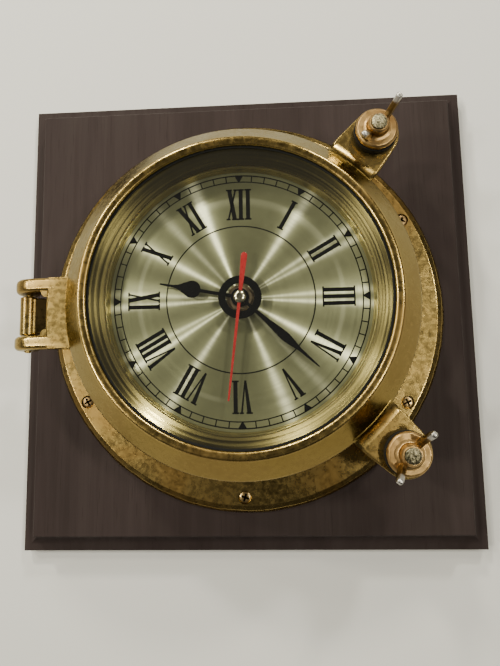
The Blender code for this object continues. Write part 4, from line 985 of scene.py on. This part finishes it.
def make_hands():
    half = [(0.8, 9.9), (0.8, 17.6), (0.85, 18.9)]
    half += arc((0.0, 22.9), 4.1, -66.0, 30.0, 22)
    half += [(2.9, 26.0), (2.3, 27.4), (1.6, 28.5), (1.15, 29.6), (0.85, 30.7), (0.62, 32.0), (0.35, 38.2)]
    ringed_hand(half, 2.85, 64.0, "hour_hand", HAND_ANGLES["hour"], "hour_arbor")
    half = [(0.8, 9.9), (1.2, 17.0), (2.0, 25.0), (2.15, 27.4), (2.05, 29.0), (1.75, 31.0), (0.8, 37.0), (0.3, 48.3)]
    ringed_hand(half, 1.9, 65.2, "minute_hand", HAND_ANGLES["minute"], "minute_arbor")

    turn = Matrix.Rotation(-math.radians(HAND_ANGLES["second"]), 4, "Z")
    tail = arc((0.0, -19.4), 1.5, 180.0, 360.0, 24)
    outline = [*tail, (1.05, -8.0), (0.75, -2.3)]
    outline += arc((0.0, 0.0), 2.2, -66.0, 66.0, 20)
    outline += [(0.75, 2.3), (0.4, 47.9), (-0.4, 47.9), (-0.75, 2.3)]
    outline += arc((0.0, 0.0), 2.2, 114.0, 246.0, 20)
    outline += [(-0.75, -2.3), (-1.05, -8.0)]
    work = bmesh.new()
    plate(work, [outline, circle(1.5, 32)], 66.4, 66.8, 0.08, turn)
    piece("second_hand_enamelled", work, RED, "second_arbor", ["second_hand"], sharp=30.0)
    work = bmesh.new()
    cap = flowing([(0.0, 68.05), (0.9, 68.0), (1.7, 67.85), (2.5, 67.5), (2.9, 67.15)], 4)
    cap += [(2.8, 67.05), (1.2, 67.05), (1.2, 66.2), (0.9, 66.2), (0.9, 67.5), (0.0, 67.5)]
    lathe(work, cap, 64, closed=False)
    piece("second_hand_cap_domed", work, CAP_STEEL, "second_arbor", ["second_hand_cap"])


# --------------------------------------------------- pieces kept from the CAD


def paint_kept_nodes():
    finishes = {
        "steel": STEEL, "rubber": RUBBER, "black_plastic": BLACK_PLASTIC, "white_plastic": WHITE_PLASTIC,
        "copper": COPPER, "board_green": GREEN, "battery_sleeve": SLEEVE, "black_paint": BLACK,
        "red_paint": RED, "case_brass": CASE_BRASS, "dog_brass": SCREW_BRASS, "ring_brass": RING_BRASS,
        "dial_brass": DIAL_BRASS, "wood": WOOD, "glass": GLASS,
    }
    for part in frame["record"]["subparts"]:
        obj = frame["nodes"][part["node"]]
        for place in obj.material_slots:
            place.material = finishes[part["material_slot"]]


# ---------------------------------------------------- floor, lights, camera


def make_stage():
    work = bmesh.new()
    bmesh.ops.create_grid(work, x_segments=4, y_segments=4, size=2.0)
    mesh = bpy.data.meshes.new("floor")
    work.to_mesh(mesh)
    work.free()
    floor = bpy.data.objects.new("floor", mesh)
    floor.location.z = CAD_LOW[2] - 0.0002
    bpy.context.scene.collection.objects.link(floor)
    finish = Finish("pale_floor", roughness=0.9)
    tone = finish.mix(finish.noise(3.0, 2.0, 0.5), (0.74, 0.73, 0.715), (0.78, 0.77, 0.755))
    mesh.materials.append(finish.done(tone))


LAMP_DISTANCE = 1.2
LAMP_TINT = (1.0, 0.96, 0.80)


def light(name, clockwise, rise, size, power):
    """A soft square light in a direction on the face and a height above it, in degrees."""
    data = bpy.data.lights.new(name, "AREA")
    data.shape = "RECTANGLE"
    data.size = data.size_y = size
    data.energy = power
    data.color = LAMP_TINT
    obj = bpy.data.objects.new(name, data)
    x, y = on_face(math.cos(math.radians(rise)), clockwise)
    place = Vector((x, y, math.sin(math.radians(rise)))) * LAMP_DISTANCE
    obj.location = place
    obj.rotation_euler = place.to_track_quat("Z", "Y").to_euler()
    bpy.context.scene.collection.objects.link(obj)


def make_light():
    world = bpy.data.worlds.new("studio")
    bpy.context.scene.world = world
    world.use_nodes = True
    sky = Nodes(world.node_tree)
    direction = sky.node("ShaderNodeTexCoord").outputs["Generated"]
    height = sky.axes(direction)["Z"]
    ramp = sky.node("ShaderNodeValToRGB")
    sky.feed(ramp.inputs["Fac"], height)
    stops = ramp.color_ramp.elements
    stops[0].position, stops[0].color = 0.0, (0.05, 0.045, 0.038, 1.0)
    stops[1].position, stops[1].color = 1.0, (0.135, 0.130, 0.120, 1.0)
    stops.new(0.70).color = (0.060, 0.058, 0.055, 1.0)
    stops.new(0.86).color = (0.125, 0.120, 0.110, 1.0)
    total = ramp.outputs[0]

    def nearness(clockwise, rise=0.0):
        """The cosine of the angle from a direction on the face and a height above it."""
        x, y = on_face(math.cos(math.radians(rise)), clockwise)
        return sky.vector("DOT_PRODUCT", direction, (x, y, math.sin(math.radians(rise)))).outputs["Value"]

    # Darker patches of ceiling and, where the depth is negative, brighter ones.
    for clockwise, rise, near, far, depth in (
        (338.0, 60.0, 0.978, 0.93, 0.95),
        (168.0, 80.0, 0.993, 0.978, 0.85),
        (19.0, 61.5, 0.992, 0.965, -1.5),
        (218.0, 74.0, 0.998, 0.988, -0.7),
        (286.0, 67.0, 0.985, 0.955, 0.6),
        (66.0, 72.0, 0.990, 0.960, 0.6),
    ):
        scaled = sky.vector("SCALE", total)
        sky.feed(scaled.inputs["Scale"], sky.band(nearness(clockwise, rise), far, near, 1.0, 1.0 - depth))
        total = scaled.outputs[0]
    # Pale walls, low down.
    for clockwise, tone, narrow in ((238.0, 0.55, 0.45), (285.0, 0.30, 0.70), (102.0, 0.38, 0.80)):
        wall = sky.band(nearness(clockwise), narrow, 1.0, 0.0, tone)
        glow = sky.math("MULTIPLY", wall, sky.band(height, 0.42, 0.12))
        total = sky.vector("MULTIPLY_ADD", glow, (1.0, 0.95, 0.85), total).outputs[0]
    background = sky.tree.nodes["Background"]
    sky.feed(background.inputs[0], total)
    background.inputs[1].default_value = 1.0
    for index, (clockwise, rise, size, power) in enumerate((
        (24.0, 37.0, 0.10, 5.5),
        (68.0, 55.0, 0.08, 2.6),
        (105.0, 60.0, 0.09, 3.4),
        (255.6, 53.0, 0.05, 2.3),
        (261.5, 53.0, 0.05, 2.1),
        (289.0, 46.0, 0.09, 4.3),
        (309.5, 41.0, 0.08, 3.4),
        (322.5, 39.0, 0.07, 1.3),
        (338.0, 38.0, 0.10, 6.5),
    )):
        light(f"lamp_{index + 1}", clockwise, rise, size, power)


def make_camera():
    data = bpy.data.cameras.new("camera")
    data.lens = 27.27
    data.clip_start = 0.01
    camera = bpy.data.objects.new("camera", data)
    right = Vector((0.99846, -0.0177, -0.05256))
    down = Vector((-0.02364, -0.99312, -0.11471))
    ahead = Vector((-0.05017, 0.11578, -0.99201))
    turn = Matrix((right, -down, -ahead)).transposed().to_4x4()
    camera.matrix_world = Matrix.Translation((0.01593, -0.04355, 0.29381)) @ turn
    bpy.context.scene.collection.objects.link(camera)
    bpy.context.scene.camera = camera


make_camera()
make_light()
make_stage()
paint_kept_nodes()
make_plaque()
make_base_ring()
make_flange_screws()
make_hinge_pin()
make_door_ring()
make_glazing()
make_dogs()
make_dial()
make_marks()
make_hands()
